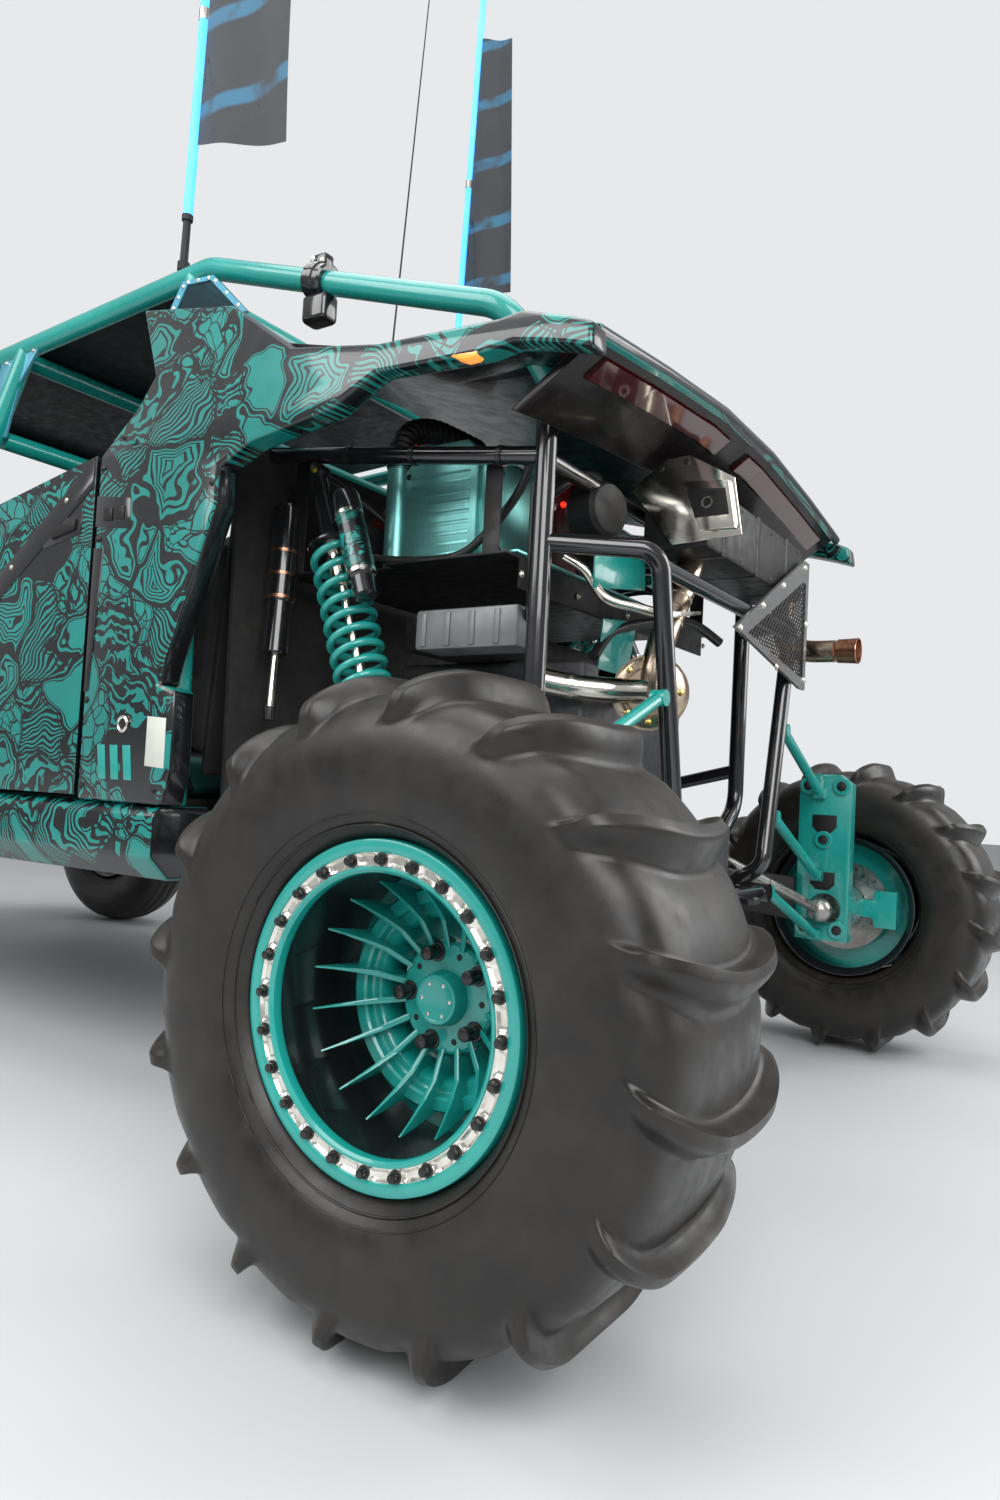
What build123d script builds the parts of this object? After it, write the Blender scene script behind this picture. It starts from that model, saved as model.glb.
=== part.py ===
from build123d import *
import os
from math import atan, atan2, cos, hypot, pi, radians, sin, tan

# A four-seat sport utility terrain vehicle on sand paddle tyres.
# Millimetres, +X forward, +Y left, +Z up, ground at z = 0.
# The origin is on the ground at the middle of the overall length and width.
# Most places along the vehicle are given as a distance ahead of the rear axle.

# Running gear
wheelbase = 3430.0
rear_rim_y = 1053.0
front_rim_y = 950.0
rear_tyre_r = 433.5
rear_tyre_w = 345.0
paddle_count = 16
paddle_h = 34.0
paddle_t = 20.0
paddle_flat = 70.0
paddle_sweep = 28.0
tyre_sides = 32
front_tyre_r = 415.0
front_tyre_w = 250.0
rim_r = 212.5
bead_r = 192.0
barrel_t = 8.0
rear_rim_w = 276.0
front_rim_w = 200.0
beadlock_t = 19.0
rear_dish = 150.0
front_dish = 95.0
spoke_count = 18
spoke_t = 7.0
spoke_tip_r = 162.0
rear_spoke_rise = 84.0
front_spoke_rise = 60.0
hub_r = 62.0
step_r = 146.0
bearing_r = 44.0
rear_spigot = 114.0
front_spigot = 60.0
disc_r = 130.0
disc_t = 6.0
disc_back = 96.0
run_gap = 7.0
fit_gap = 0.3

# Steering geometry
kingpin_y = 790.0
kingpin_half = 112.0
steer_arm_x = 130.0
steer_z = 525.0
rod_r = 11.0

# Body
nose_reach = 440.0
body_half_w = 800.0
skid_z = 470.0
skid_t = 5.0
floor_t = 6.0
rocker_top = 640.0
rocker_in = 650.0
rocker_front = 2935.0
rocker_rear = 950.0
cab_rear_x = 950.0
cab_front_x = 3040.0
wall_t = 10.0
panel_t = 8.0
door_t = 45.0
door_gap = 10.0
door_shut = 18.0
door_rear_x = 1225.0
door_split_x = 2050.0
door_front_x = 2885.0
hinge_r = 7.0
quarter_t = 60.0

# Roll cage
cage_r = 25.0
pillar_r = 24.0
rail_y = 650.0
pillar_y = 712.0
rail_front_x = 2560.0
rail_front_z = 1800.0
rail_rear_x = 1060.0
rail_rear_z = 1873.0
stay_x = 250.0
stay_y = 620.0
stay_z = 1612.0
stay_foot_x = 190.0
stay_foot_z = 1475.0
b_top_x = 1800.0
b_waist_x = 2030.0
b_foot_x = 2050.0
b_waist_z = 1250.0
c_top_x = 1120.0
c_waist_x = 1010.0
c_foot_x = 990.0
c_waist_z = 1330.0

# Frame below and behind the cab
rail_r = 22.0
bar_r = 17.0
frame_half_w = 260.0
bay_post_x = 200.0
bay_post_y = 540.0
bay_top_z = 1440.0
bay_front_x = 868.0
arm_pivot_x = 850.0
tail_x = 20.0
tail_y = 400.0
tail_top_z = 1180.0
tail_foot_z = 560.0
nose_start = -275.0
nose_bend = 210.0
nose_end = 310.0
nose_rise = 0.6
nose_top_z = 850.0
wishbone_out = 2.2
tow_x = -38.0
tow_t = 12.0
tow_hole_r = 9.0

rear_reach = rear_tyre_r * cos(pi / paddle_count - atan2(paddle_t / 2, rear_tyre_r))
front_reach = front_tyre_r * cos(pi / tyre_sides)
nose_bend_x = wheelbase + nose_bend
nose_end_x = wheelbase + nose_end
overall_length = wheelbase + nose_reach + rear_reach
rear_x = rear_reach - overall_length / 2
front_x = rear_x + wheelbase
rear_hub_z = rear_reach
front_hub_z = front_reach
rail_z = skid_z + skid_t + fit_gap + rail_r
floor_z = rail_z + rail_r + fit_gap
floor_top = floor_z + floor_t
nose_end_z = rail_z + (nose_end_x - nose_bend_x) * nose_rise
sides = (("left", 1), ("right", -1))


def ahead(distance):
    """X of a place that lies this far forward of the rear axle."""
    return rear_x + distance


def spot(x, y, z):
    """Point from its distance ahead of the rear axle, its Y and its height."""
    return Vector(ahead(x), y, z)


def flip(point, side):
    """The same point on the left, or its mirror image on the right."""
    return Vector(point.X, side * point.Y, point.Z)


def tube(points, radius, bend=0.0, foot=None):
    """Round bar along straight runs joined by bends, cut level at its foot."""
    start = Vector(*points[0])
    heading = Vector(*points[1]) - start
    with BuildPart() as run:
        with BuildLine() as route:
            if len(points) == 2:
                Line(*points)
            else:
                FilletPolyline(*points, radius=bend)
        with BuildSketch(Plane(origin=start, z_dir=heading)):
            Circle(radius)
        sweep(path=route.wires()[0])
        if foot is not None:
            split(bisect_by=Plane.XY.offset(foot), keep=Keep.TOP)
    return run.part


def plate(points, plane, thickness):
    """Flat plate of a straight-sided outline that stands on a plane."""
    with BuildPart() as slab:
        with BuildSketch(plane):
            with BuildLine():
                Polyline(*points, close=True)
            make_face()
        extrude(amount=thickness)
    return slab.part


def side_plate(points, low_y, thickness):
    """Plate whose outline is seen from the side, from its lower Y across its thickness."""
    plane = Plane(origin=(0, low_y, 0), x_dir=(-1, 0, 0), z_dir=(0, 1, 0))
    return plate([(-ahead(x), z) for x, z in points], plane, thickness)


def cross_plate(points, x, thickness):
    """Plate whose outline of Y and height is seen from behind, forward from x."""
    return plate(points, Plane.YZ.offset(ahead(x)), thickness)


def side_slab(points, side, outer_y, thickness):
    """Side plate on the left or right whose outer face is at a distance from the middle."""
    low_y = outer_y - thickness if side > 0 else -outer_y
    return side_plate(points, low_y, thickness)


def drum(point, direction, radius, length):
    """Round boss or pin that starts at a point and runs along a direction."""
    with BuildPart() as body:
        with BuildSketch(Plane(origin=point, z_dir=direction)):
            Circle(radius)
        extrude(amount=length)
    return body.part


def ring(outline, plane, axis):
    """Turned piece from its half section."""
    with BuildPart() as body:
        with BuildSketch(plane):
            with BuildLine():
                Polyline(*outline, close=True)
            make_face()
        revolve(axis=axis)
    return body.part


def save(part, name):
    """Labels a finished piece and writes it under the name of its node."""
    part.label = name
    export_step(part, f"parts/{name}.step")


os.makedirs("parts", exist_ok=True)


# Wheels
def tyre(x, y, z, rim_w, radius, width, paddles):
    """Many-sided tyre carcass, with cupped bars across the tread where it has paddles."""
    crown_r = radius - (paddle_h if paddles else 0.0)
    half = width / 2
    bead = rim_w / 2 - beadlock_t - fit_gap
    section = [
        (bead, rim_r + 2.0),
        (half - 8.0, rim_r + 18.0),
        (half, (rim_r + crown_r) / 2),
        (half - 14.0, crown_r - 40.0),
        (half - 50.0, crown_r - 13.0),
        (0.0, crown_r),
    ]
    section += [(-u, r) for u, r in reversed(section[:-1])]
    centre = Vector(x, y, z)
    with BuildPart() as body:
        for u, r in section:
            with BuildSketch(Plane(origin=(x, y - u, z), x_dir=(1, 0, 0), z_dir=(0, -1, 0))):
                RegularPolygon(radius=r, side_count=tyre_sides, rotation=180.0 / tyre_sides)
        loft(ruled=True)
        with BuildSketch(Plane(origin=(x, y + width, z), x_dir=(1, 0, 0), z_dir=(0, -1, 0))):
            RegularPolygon(radius=(bead_r + fit_gap) / cos(pi / tyre_sides), side_count=tyre_sides)
        extrude(amount=2 * width, mode=Mode.SUBTRACT)
        if paddles:
            turns = [(step + 0.5) * 2 * pi / paddle_count for step in range(paddle_count)]
            add([blade for turn in turns for side in (1, -1)
                 for blade in half_paddle(centre, turn, side, half, crown_r, radius)])
    return body.part


def half_paddle(centre, turn, side, half, crown_r, radius):
    """Both plates of half a bar across the tread: a straight middle, and an end that leads round the shoulder."""
    tip = hypot(radius, paddle_t / 2) - paddle_t**2 / (4 * radius)
    onward = Vector(cos(turn), 0, -sin(turn))
    outward = Vector(0, side, 0)
    sweep_turn = radians(paddle_sweep)
    reach = (half - paddle_flat) / cos(sweep_turn)
    knee = centre + outward * paddle_flat
    lead = outward * cos(sweep_turn) + onward * sin(sweep_turn)
    middle = [(-1.0, crown_r - 20.0), (-1.0, tip), (paddle_flat, tip - 1.0), (paddle_flat, crown_r - 20.0)]
    wing = [(-6.0, crown_r - 20.0), (-6.0, tip - 1.0), (reach * 0.5, tip - 9.0), (reach * 0.96, crown_r - 22.0),
            (reach * 0.98, crown_r - 66.0), (reach * 0.8, crown_r - 60.0)]
    facing = onward * cos(sweep_turn) - outward * sin(sweep_turn)
    straight = Plane(origin=centre, x_dir=outward, z_dir=onward)
    swept = Plane(origin=knee, x_dir=lead, z_dir=facing)
    return (plate(middle, straight.offset(-paddle_t / 2), paddle_t),
            plate(wing, swept.offset(-paddle_t / 2), paddle_t))


def rim(x, y, z, side, rim_w, dish, spigot, rise):
    """Rim with its beadlock ring, barrel, spoked centre, hub and brake disc."""
    centre = Vector(x, y, z)
    half = rim_w / 2
    face = half - dish
    wall_r = bead_r - barrel_t
    across = Plane(origin=centre, x_dir=(0, side, 0), z_dir=(side, 0, 0))
    shell = [(-half, wall_r), (-half, bead_r + 12.0), (-half + 10.0, bead_r + 12.0), (-half + 10.0, bead_r),
             (half - beadlock_t, bead_r), (half - beadlock_t, rim_r), (half, rim_r), (half, bead_r - 22.0),
             (half - beadlock_t, bead_r - 22.0), (half - beadlock_t, wall_r)]
    centre_disc = [(face - 44.0, 0.0), (face - 44.0, wall_r), (face - 30.0, wall_r), (face - 30.0, step_r),
                   (face + 18.0, step_r), (face + 18.0, 126.0), (face + 4.0, 122.0), (face + 4.0, 110.0),
                   (face - 14.0, 106.0), (face - 14.0, hub_r + 14.0), (face, hub_r + 12.0), (face, 36.0),
                   (face + 24.0, 33.0), (face + 24.0, 0.0)]
    hub = [(face - 44.0, 0.0), (face - 44.0, hub_r + 14.0), (face - 62.0, hub_r + 14.0),
           (face - 62.0, bearing_r - fit_gap), (face - 62.0 - spigot, bearing_r - fit_gap), (face - 62.0 - spigot, 0.0)]
    disc = [(face - disc_back, bearing_r - 2.0), (face - disc_back, disc_r),
            (face - disc_back - disc_t, disc_r), (face - disc_back - disc_t, bearing_r - 2.0)]
    with BuildPart() as body:
        add([ring(outline, across, Axis(centre, (0, 1, 0))) for outline in (shell, centre_disc, hub, disc)])
        turns = [step * 2 * pi / spoke_count for step in range(spoke_count)]
        add([window(centre, side, face, turn + pi / spoke_count) for turn in turns], mode=Mode.SUBTRACT)
        add([spoke(centre, side, face, turn, rise) for turn in turns])
    return body.part


def window(centre, side, face, turn):
    """Opening through the centre disc between two spokes."""
    plane = Plane(origin=centre, x_dir=(cos(turn), 0, -side * sin(turn)), z_dir=(0, side, 0))
    return plate([(82.0, -4.0), (104.0, -9.0), (104.0, 9.0), (82.0, 4.0)], plane.offset(face - 45.0), 60.0)


def spoke(centre, side, face, turn, rise):
    """Thin blade that runs out from the hub, flares forward and ends in a point inside the barrel."""
    blade = [(face - 16.0, hub_r - 10.0), (face + 3.0, hub_r - 14.0), (face + 0.24 * rise, 112.0),
             (face + rise, spoke_tip_r), (face + 0.44 * rise, spoke_tip_r - 12.0), (face + 6.0, step_r + 1.0),
             (face - 16.0, step_r - 6.0)]
    plane = Plane(origin=centre, x_dir=(0, side, 0), z_dir=(side * cos(turn), 0, -sin(turn)))
    return plate(blade, plane.offset(-spoke_t / 2), spoke_t)


# Corner, axle place, middle plane, hub height, rim width, tyre radius, tyre width, dish, spigot, rise of the spokes
wheels = (
    ("rear", rear_x, rear_rim_y, rear_hub_z, rear_rim_w, rear_tyre_r, rear_tyre_w, rear_dish, rear_spigot,
     rear_spoke_rise),
    ("front", front_x, front_rim_y, front_hub_z, front_rim_w, front_tyre_r, front_tyre_w, front_dish, front_spigot,
     front_spoke_rise),
)
for end, axle_x, rim_y, hub_z, rim_w, tyre_r, tyre_w, dish, spigot, rise in wheels:
    for hand, side in sides:
        save(tyre(axle_x, side * rim_y, hub_z, rim_w, tyre_r, tyre_w, end == "rear"), f"tyre_{end}_{hand}")
        save(rim(axle_x, side * rim_y, hub_z, side, rim_w, dish, spigot, rise), f"rim_{end}_{hand}")


# Roll cage: each side is one welded frame, and straight bars cross between the two
def rail_height(x):
    """Height of the roof rail's centre at a distance ahead of the rear axle."""
    return rail_rear_z - (x - rail_rear_x) * (rail_rear_z - rail_front_z) / (rail_front_x - rail_rear_x)


def pillar_at(top_x, waist_x, waist_z, z):
    """Distance ahead of the rear axle and Y of a leaning pillar at a height."""
    share = (rail_height(top_x) - z) / (rail_height(top_x) - waist_z)
    return top_x + share * (waist_x - top_x), rail_y + share * (pillar_y - rail_y)


for hand, side in sides:
    main_run = [spot(3000, side * 530, floor_z - 40), spot(3060, side * 690, 1120),
                spot(rail_front_x, side * rail_y, rail_front_z), spot(rail_rear_x, side * rail_y, rail_rear_z),
                spot(stay_x, side * stay_y, stay_z), spot(stay_foot_x, side * bay_post_y, stay_foot_z)]
    b_pillar = [spot(b_foot_x, side * pillar_y, rocker_top - 20), spot(b_waist_x, side * pillar_y, b_waist_z),
                spot(b_top_x, side * rail_y, rail_height(b_top_x))]
    c_pillar = [spot(c_foot_x, side * pillar_y, rocker_top - 20), spot(c_waist_x, side * pillar_y, c_waist_z),
                spot(c_top_x, side * rail_y, rail_height(c_top_x))]
    with BuildPart() as cage_side:
        add(tube(main_run, cage_r, 110.0, floor_top + fit_gap))
        add(tube(b_pillar, pillar_r, 90.0, rocker_top + fit_gap))
        add(tube(c_pillar, pillar_r, 90.0, rocker_top + fit_gap))
    save(cage_side.part, f"cage_side_{hand}")

bar_gap = 0.8
harness_z = 1600.0
rear_harness_z = 1510.0
front_harness_x = pillar_at(b_top_x, b_waist_x, b_waist_z, harness_z)[0]
front_harness_y = pillar_at(b_top_x, b_waist_x, b_waist_z, harness_z + cage_r)[1]
rear_harness_x = pillar_at(c_top_x, c_waist_x, c_waist_z, rear_harness_z)[0]
rear_harness_y = pillar_at(c_top_x, c_waist_x, c_waist_z, rear_harness_z + cage_r)[1]
# Distance ahead of the rear axle, height, Y and radius of the tubes that it meets
cross_bars = (
    (rail_front_x - 75, rail_height(rail_front_x - 75), rail_y, cage_r),
    (b_top_x + 70, rail_height(b_top_x + 70), rail_y, cage_r),
    (c_top_x + 60, rail_height(c_top_x + 60), rail_y, cage_r),
    (front_harness_x, harness_z, front_harness_y, pillar_r),
    (rear_harness_x, rear_harness_z, rear_harness_y, pillar_r),
)
with BuildPart() as cage_crossbars:
    for bar_x, bar_z, meet_y, meet_r in cross_bars:
        half = meet_y - meet_r - bar_gap
        add(tube([spot(bar_x, -half, bar_z), spot(bar_x, half, bar_z)], cage_r))
save(cage_crossbars.part, "cage_crossbars")

roof_front_x = rail_front_x - 30
roof_rear_x = c_top_x + 100
roof_half = rail_y - 40
roof_t = 4.0
roof_low = [(x, rail_height(x) + cage_r + fit_gap) for x in (roof_rear_x, roof_front_x)]
roof = [*roof_low, *[(x, z + roof_t) for x, z in reversed(roof_low)]]
save(side_plate(roof, -roof_half, 2 * roof_half), "roof_panel")

# Frame in three bolted parts: engine bay, cab and nose
wishbone_z = 690.0
joint_gap = 0.3
nose_start_x = wheelbase + nose_start
rack_x = wheelbase - steer_arm_x
rear_drive_x = 130.0
brace_r = 18.0
brace_end_x = 935.0
brace_rear_z = 1345.0
brace_front_z = 1452.0


def brace_height(x):
    """Height of the centre of the bay's upper brace at a distance ahead of the rear axle."""
    return brace_rear_z + (x - bay_post_x) * (brace_front_z - brace_rear_z) / (brace_end_x - bay_post_x)


def add_members(rows, radius):
    """Straight bars from side to side: distance ahead of the rear axle, height, half length."""
    for member_x, member_z, half in rows:
        add(tube([spot(member_x, -half, member_z), spot(member_x, half, member_z)], radius))


with BuildPart() as bay_frame:
    for side in (1, -1):
        y = side * frame_half_w
        post_y = side * bay_post_y
        post = [spot(bay_post_x, y, rail_z), spot(bay_post_x, post_y, 700), spot(bay_post_x, post_y, bay_top_z - 30)]
        tail = [spot(bay_post_x, post_y, tail_top_z), spot(tail_x, side * tail_y, tail_top_z),
                spot(tail_x, y, tail_foot_z), spot(120, y, rail_z)]
        add(tube([spot(0, y, rail_z), spot(bay_front_x - joint_gap / 2, y, rail_z)], rail_r))
        add(tube(post, rail_r - 1, 90.0))
        add(tube([spot(bay_post_x, post_y, brace_rear_z), spot(brace_end_x, post_y, brace_front_z)], brace_r))
        add(tube([spot(bay_post_x, post_y, 800), spot(brace_end_x, post_y, 620)], brace_r))
        add(tube(tail, rail_r - 3, 50.0))
    add_members([(tail_x, rail_z, frame_half_w), (rear_drive_x, rail_z, frame_half_w),
                 (arm_pivot_x, rail_z + 30, 429.7), (bay_post_x, bay_top_z - 100, bay_post_y),
                 (tail_x, 1150, tail_y - 8)], bar_r)
    add(plate([(ahead(tail_x - 8), 30), (ahead(tail_x - 8), -30), (ahead(tail_x - 70), -30), (ahead(tail_x - 80), -18),
               (ahead(tail_x - 80), 18), (ahead(tail_x - 70), 30)], Plane.XY.offset(rail_z - tow_t / 2), tow_t))
    add(drum(spot(tow_x, 0, rail_z - tow_t), Vector(0, 0, 1), tow_hole_r, 2 * tow_t), mode=Mode.SUBTRACT)
save(bay_frame.part, "bay_frame")

with BuildPart() as lower_frame:
    for y in (frame_half_w, -frame_half_w):
        add(tube([spot(bay_front_x + joint_gap / 2, y, rail_z), spot(nose_start_x - joint_gap / 2, y, rail_z)], rail_r))
    add_members([(bay_front_x + share * (nose_start_x - bay_front_x), rail_z, frame_half_w)
                 for share in (0.27, 0.52, 0.77)], bar_r)
save(lower_frame.part, "lower_frame")

with BuildPart() as nose_frame:
    for side in (1, -1):
        y = side * frame_half_w
        lower = [spot(nose_start_x + joint_gap / 2, y, rail_z), spot(nose_bend_x, y, rail_z),
                 spot(nose_end_x, y, nose_end_z)]
        loop = [spot(wheelbase - 245, y, rail_z), spot(wheelbase - 190, y, 900), spot(wheelbase + 160, y, nose_top_z),
                spot(wheelbase + 200, y, rail_z)]
        add(tube(lower, rail_r, 150.0))
        add(tube(loop, rail_r - 2, 60.0))
        out_y = y + side * wishbone_out
        add(tube([spot(wheelbase - 221, out_y, wishbone_z), spot(wheelbase + 175, out_y, wishbone_z)], rail_r - 4))
    add_members([(rack_x, rail_z, frame_half_w), (wheelbase, rail_z, frame_half_w),
                 (wheelbase + 160, nose_top_z, frame_half_w), (nose_end_x, nose_end_z, frame_half_w)], bar_r)
save(nose_frame.part, "nose_frame")

# Under-tray, cab floor and end walls of the cab
skid_bend = nose_bend_x + (rail_r + fit_gap) * tan(atan(nose_rise) / 2)
skid_line = [(60, skid_z), (skid_bend, skid_z), (nose_end_x, skid_z + (nose_end_x - skid_bend) * nose_rise)]
skid = [*skid_line, *[(x, z + skid_t) for x, z in reversed(skid_line)]]
narrow = frame_half_w + rail_r - 2
wide = 560.0
skid_plan = [(60, narrow), (700, narrow), (960, wide), (2860, wide), (3100, narrow), (nose_end_x, narrow)]
with BuildPart() as skid_plate:
    add(side_plate(skid, -wide, 2 * wide))
    with BuildSketch(Plane.XY.offset(skid_z - 10)):
        with BuildLine():
            Polyline(*[(ahead(x), y) for x, y in skid_plan],
                     *[(ahead(x), -y) for x, y in reversed(skid_plan)], close=True)
        make_face()
    extrude(amount=200, mode=Mode.INTERSECT)
save(skid_plate.part, "skid_plate")

tunnel_half = 110.0
tunnel_z = 700.0
floor_plan = [(cab_rear_x, 640), (2900, 640), (2900, 585), (cab_front_x, 560)]
tunnel = [(-tunnel_half, floor_z), (-tunnel_half + 15, tunnel_z), (tunnel_half - 15, tunnel_z), (tunnel_half, floor_z)]
tunnel_in = [(y * (1 - floor_t / tunnel_half), z - (floor_t if z > floor_z else 1)) for y, z in tunnel]
with BuildPart() as cab_floor:
    add(plate([*[(ahead(x), y) for x, y in floor_plan], *[(ahead(x), -y) for x, y in reversed(floor_plan)]],
              Plane.XY.offset(floor_z), floor_t))
    add(cross_plate(tunnel, cab_rear_x, cab_front_x - cab_rear_x))
    add(cross_plate(tunnel_in, cab_rear_x, cab_front_x - cab_rear_x), mode=Mode.SUBTRACT)
save(cab_floor.part, "cab_floor")

# Steering column: from the wheel through the dash and the front wall to the rack
pin_h = 14.0
rod_z = steer_z + pin_h + fit_gap + rod_r + 1
wheel_hub = spot(2560, 370, 1110)
column_foot = spot(2960, 370, 965)
column_dir = (column_foot - wheel_hub).normalized()
column_run = [wheel_hub + column_dir * 62, column_foot, spot(rack_x, 150, rod_z + 34)]
column_r = 16.0
wall_hole = drum(column_foot + (column_run[2] - column_foot) * 0.1, column_run[2] - column_foot, column_r + 3, 120)

with BuildPart() as bulkheads:
    add(cross_plate([(-620, floor_top + fit_gap), (620, floor_top + fit_gap), (640, 1470), (-640, 1470)],
                    cab_rear_x - wall_t, wall_t))
    add(cross_plate([(-505, floor_top + fit_gap), (505, floor_top + fit_gap), (590, 1060), (-590, 1060)],
                    cab_front_x, wall_t))
    add(wall_hole, mode=Mode.SUBTRACT)
save(bulkheads.part, "bulkheads")

rocker = [(rocker_in, skid_z + 10), (body_half_w - 50, skid_z + 10), (body_half_w, skid_z + 60),
          (body_half_w, rocker_top - 20), (body_half_w - 20, rocker_top), (rocker_in, rocker_top)]
with BuildPart() as rocker_panels:
    for side in (1, -1):
        add(cross_plate([(side * y, z) for y, z in rocker], rocker_rear, rocker_front - rocker_rear))
save(rocker_panels.part, "rocker_panels")

# Doors, hinged at their front edges on pins that stand just outside the skin
door_foot = rocker_top + door_gap
half_shut = door_shut / 2
front_door = [(door_front_x, door_foot), (door_front_x, 1120), (door_split_x + half_shut, 1275),
              (door_split_x + half_shut, door_foot)]
rear_door = [(door_split_x - half_shut, door_foot), (door_split_x - half_shut, 1275), (1600, 1350),
             (door_rear_x, 1412), (door_rear_x, door_foot)]
hinge_y = body_half_w + hinge_r + 1
hinge_heights = (760.0, 1060.0)
leaf_t = 4.0
barrel_h = 40.0
# Row, outline, distance of the hinge pin ahead of the rear axle
door_rows = (("front", front_door, door_front_x + half_shut), ("rear", rear_door, door_split_x))
for row, outline, pin_x in door_rows:
    for hand, side in sides:
        with BuildPart() as door:
            add(side_slab(outline, side, body_half_w, door_t))
            for z in hinge_heights:
                add(drum(spot(pin_x, side * hinge_y, z), Vector(0, 0, 1), hinge_r, barrel_h))
                add(side_slab([(pin_x, z), (pin_x, z + barrel_h), (pin_x - 70, z + barrel_h), (pin_x - 70, z)],
                              side, body_half_w + leaf_t, leaf_t))
        save(door.part, f"door_{row}_{hand}")

lug_h = 12.0
with BuildPart() as door_hinges:
    for side in (1, -1):
        for z in hinge_heights:
            for lug_z in (z + barrel_h + fit_gap, z - fit_gap - lug_h):
                for pin_x in (door_front_x + half_shut, door_split_x):
                    add(drum(spot(pin_x, side * hinge_y, lug_z), Vector(0, 0, 1), hinge_r, lug_h))
                pin_x = door_front_x + half_shut
                add(side_slab([(pin_x, lug_z), (pin_x, lug_z + lug_h), (pin_x + 55, lug_z + lug_h), (pin_x + 55, lug_z)],
                              side, body_half_w + fit_gap + leaf_t, leaf_t))
                pillar_face = pillar_y + pillar_r + fit_gap
                add(side_slab([(door_split_x - 2, lug_z), (door_split_x + 2, lug_z), (door_split_x + 2, lug_z + lug_h),
                               (door_split_x - 2, lug_z + lug_h)], side, hinge_y, hinge_y - pillar_face))
save(door_hinges.part, "door_hinges")

# Rear quarter panels: a fin up to the roof rail, a wing over the wheel and a tail that closes round the deck
quarter_front = door_rear_x - door_gap
quarter_low = rocker_top + fit_gap
quarter = [(quarter_front, quarter_low), (quarter_front, 1412), (1120, 1512), (1085, 1580), (1188, 1769), (872, 1702),
           (655, 1556), (426, 1512), (156, 1498), (113, 1503), (15, 1470), (-30, 1450), (-36, 1403), (16, 1420),
           (74, 1436), (122, 1447), (178, 1440), (417, 1453), (510, 1400), (721, 1370), (816, 1333),
           (815, 1255), (944, 945), (961, 893), (906, 878), (907, 709), (925, quarter_low)]
lean_z = 1400.0
lean_y = 65.0
quarter_wall = [(body_half_w, quarter_low), (body_half_w, lean_z), (body_half_w - lean_y, 1770),
                (body_half_w - quarter_t - 40, 1770), (body_half_w - quarter_t + 5, lean_z),
                (body_half_w - quarter_t, quarter_low)]
with BuildPart() as rear_quarters:
    for side in (1, -1):
        add(side_slab(quarter, side, body_half_w, quarter_t + 50))
    with BuildSketch(Plane.YZ):
        for side in (1, -1):
            with BuildLine():
                Polyline(*[(side * y, z) for y, z in quarter_wall], close=True)
            make_face()
    extrude(amount=overall_length, both=True, mode=Mode.INTERSECT)
save(rear_quarters.part, "rear_quarters")

deck_half = body_half_w - quarter_t - 36
deck_line = [(900, 1680), (500, 1578), (180, 1522), (10, 1512)]
# Distance from the middle and rise of the tail's crown
crown = [(deck_half, -30.0), (450.0, 0.0), (150.0, 28.0), (-150.0, 28.0), (-450.0, 0.0), (-deck_half, -30.0)]


def crown_rise(y):
    """Rise of the tail's crown at a distance from the middle."""
    for (far_y, far_rise), (near_y, near_rise) in zip(crown, crown[1:]):
        if near_y <= y <= far_y:
            return near_rise + (far_rise - near_rise) * (y - near_y) / (far_y - near_y)


def crowned(points, low_y, high_y):
    """Strip across the tail whose outline is seen from the side and rises with the crown."""
    stations = [high_y, *[y for y, rise in crown if low_y < y < high_y], low_y]
    with BuildPart() as strip:
        for y in stations:
            with BuildSketch(Plane(origin=(0, y, crown_rise(y)), x_dir=(-1, 0, 0), z_dir=(0, 1, 0))):
                with BuildLine():
                    Polyline(*[(-ahead(x), z) for x, z in points], close=True)
                make_face()
        loft(ruled=True)
    return strip.part


with BuildPart() as tail_deck:
    add(crowned([*deck_line, *[(x, z - panel_t) for x, z in reversed(deck_line)]], -deck_half, deck_half))
    for side in (1, -1):
        stay_low = spot(stay_x, side * stay_y, stay_z)
        stay_foot = spot(stay_foot_x, side * bay_post_y, stay_foot_z)
        add(drum(stay_low, stay_foot - stay_low, cage_r + fit_gap, 200), mode=Mode.SUBTRACT)
save(tail_deck.part, "tail_deck")

# The tail panel slopes forward from the deck's rear edge, with a long smoked lamp on each side
panel_top = (0.0, 1501.0)
panel_foot = (160.0, 1395.0)
panel_run = hypot(panel_foot[0] - panel_top[0], panel_foot[1] - panel_top[1])


def on_panel(along, out):
    """Distance ahead and height of a place down the tail panel's face and out from it."""
    run_x = (panel_foot[0] - panel_top[0]) / panel_run
    run_z = (panel_foot[1] - panel_top[1]) / panel_run
    return panel_top[0] + along * run_x + out * run_z, panel_top[1] + along * run_z - out * run_x


lamp_in = 60.0
lamp_out = 640.0
lamp_face = [on_panel(30, fit_gap), on_panel(34, 8), on_panel(78, 10), on_panel(84, fit_gap)]
save(crowned([panel_top, panel_foot, (175, 1402), (30, 1504.8)], -deck_half, deck_half), "tail_panel")
with BuildPart() as tail_lamps:
    for low_y, high_y in ((lamp_in, lamp_out), (-lamp_out, -lamp_in)):
        add(crowned(lamp_face, low_y, high_y))
save(tail_lamps.part, "tail_lamps")
with BuildPart() as side_markers:
    for side in (1, -1):
        add(side_slab([(205, 1441), (290, 1445.6), (286, 1432), (214, 1429)], side, body_half_w - 2, 30))
save(side_markers.part, "side_markers")

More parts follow.
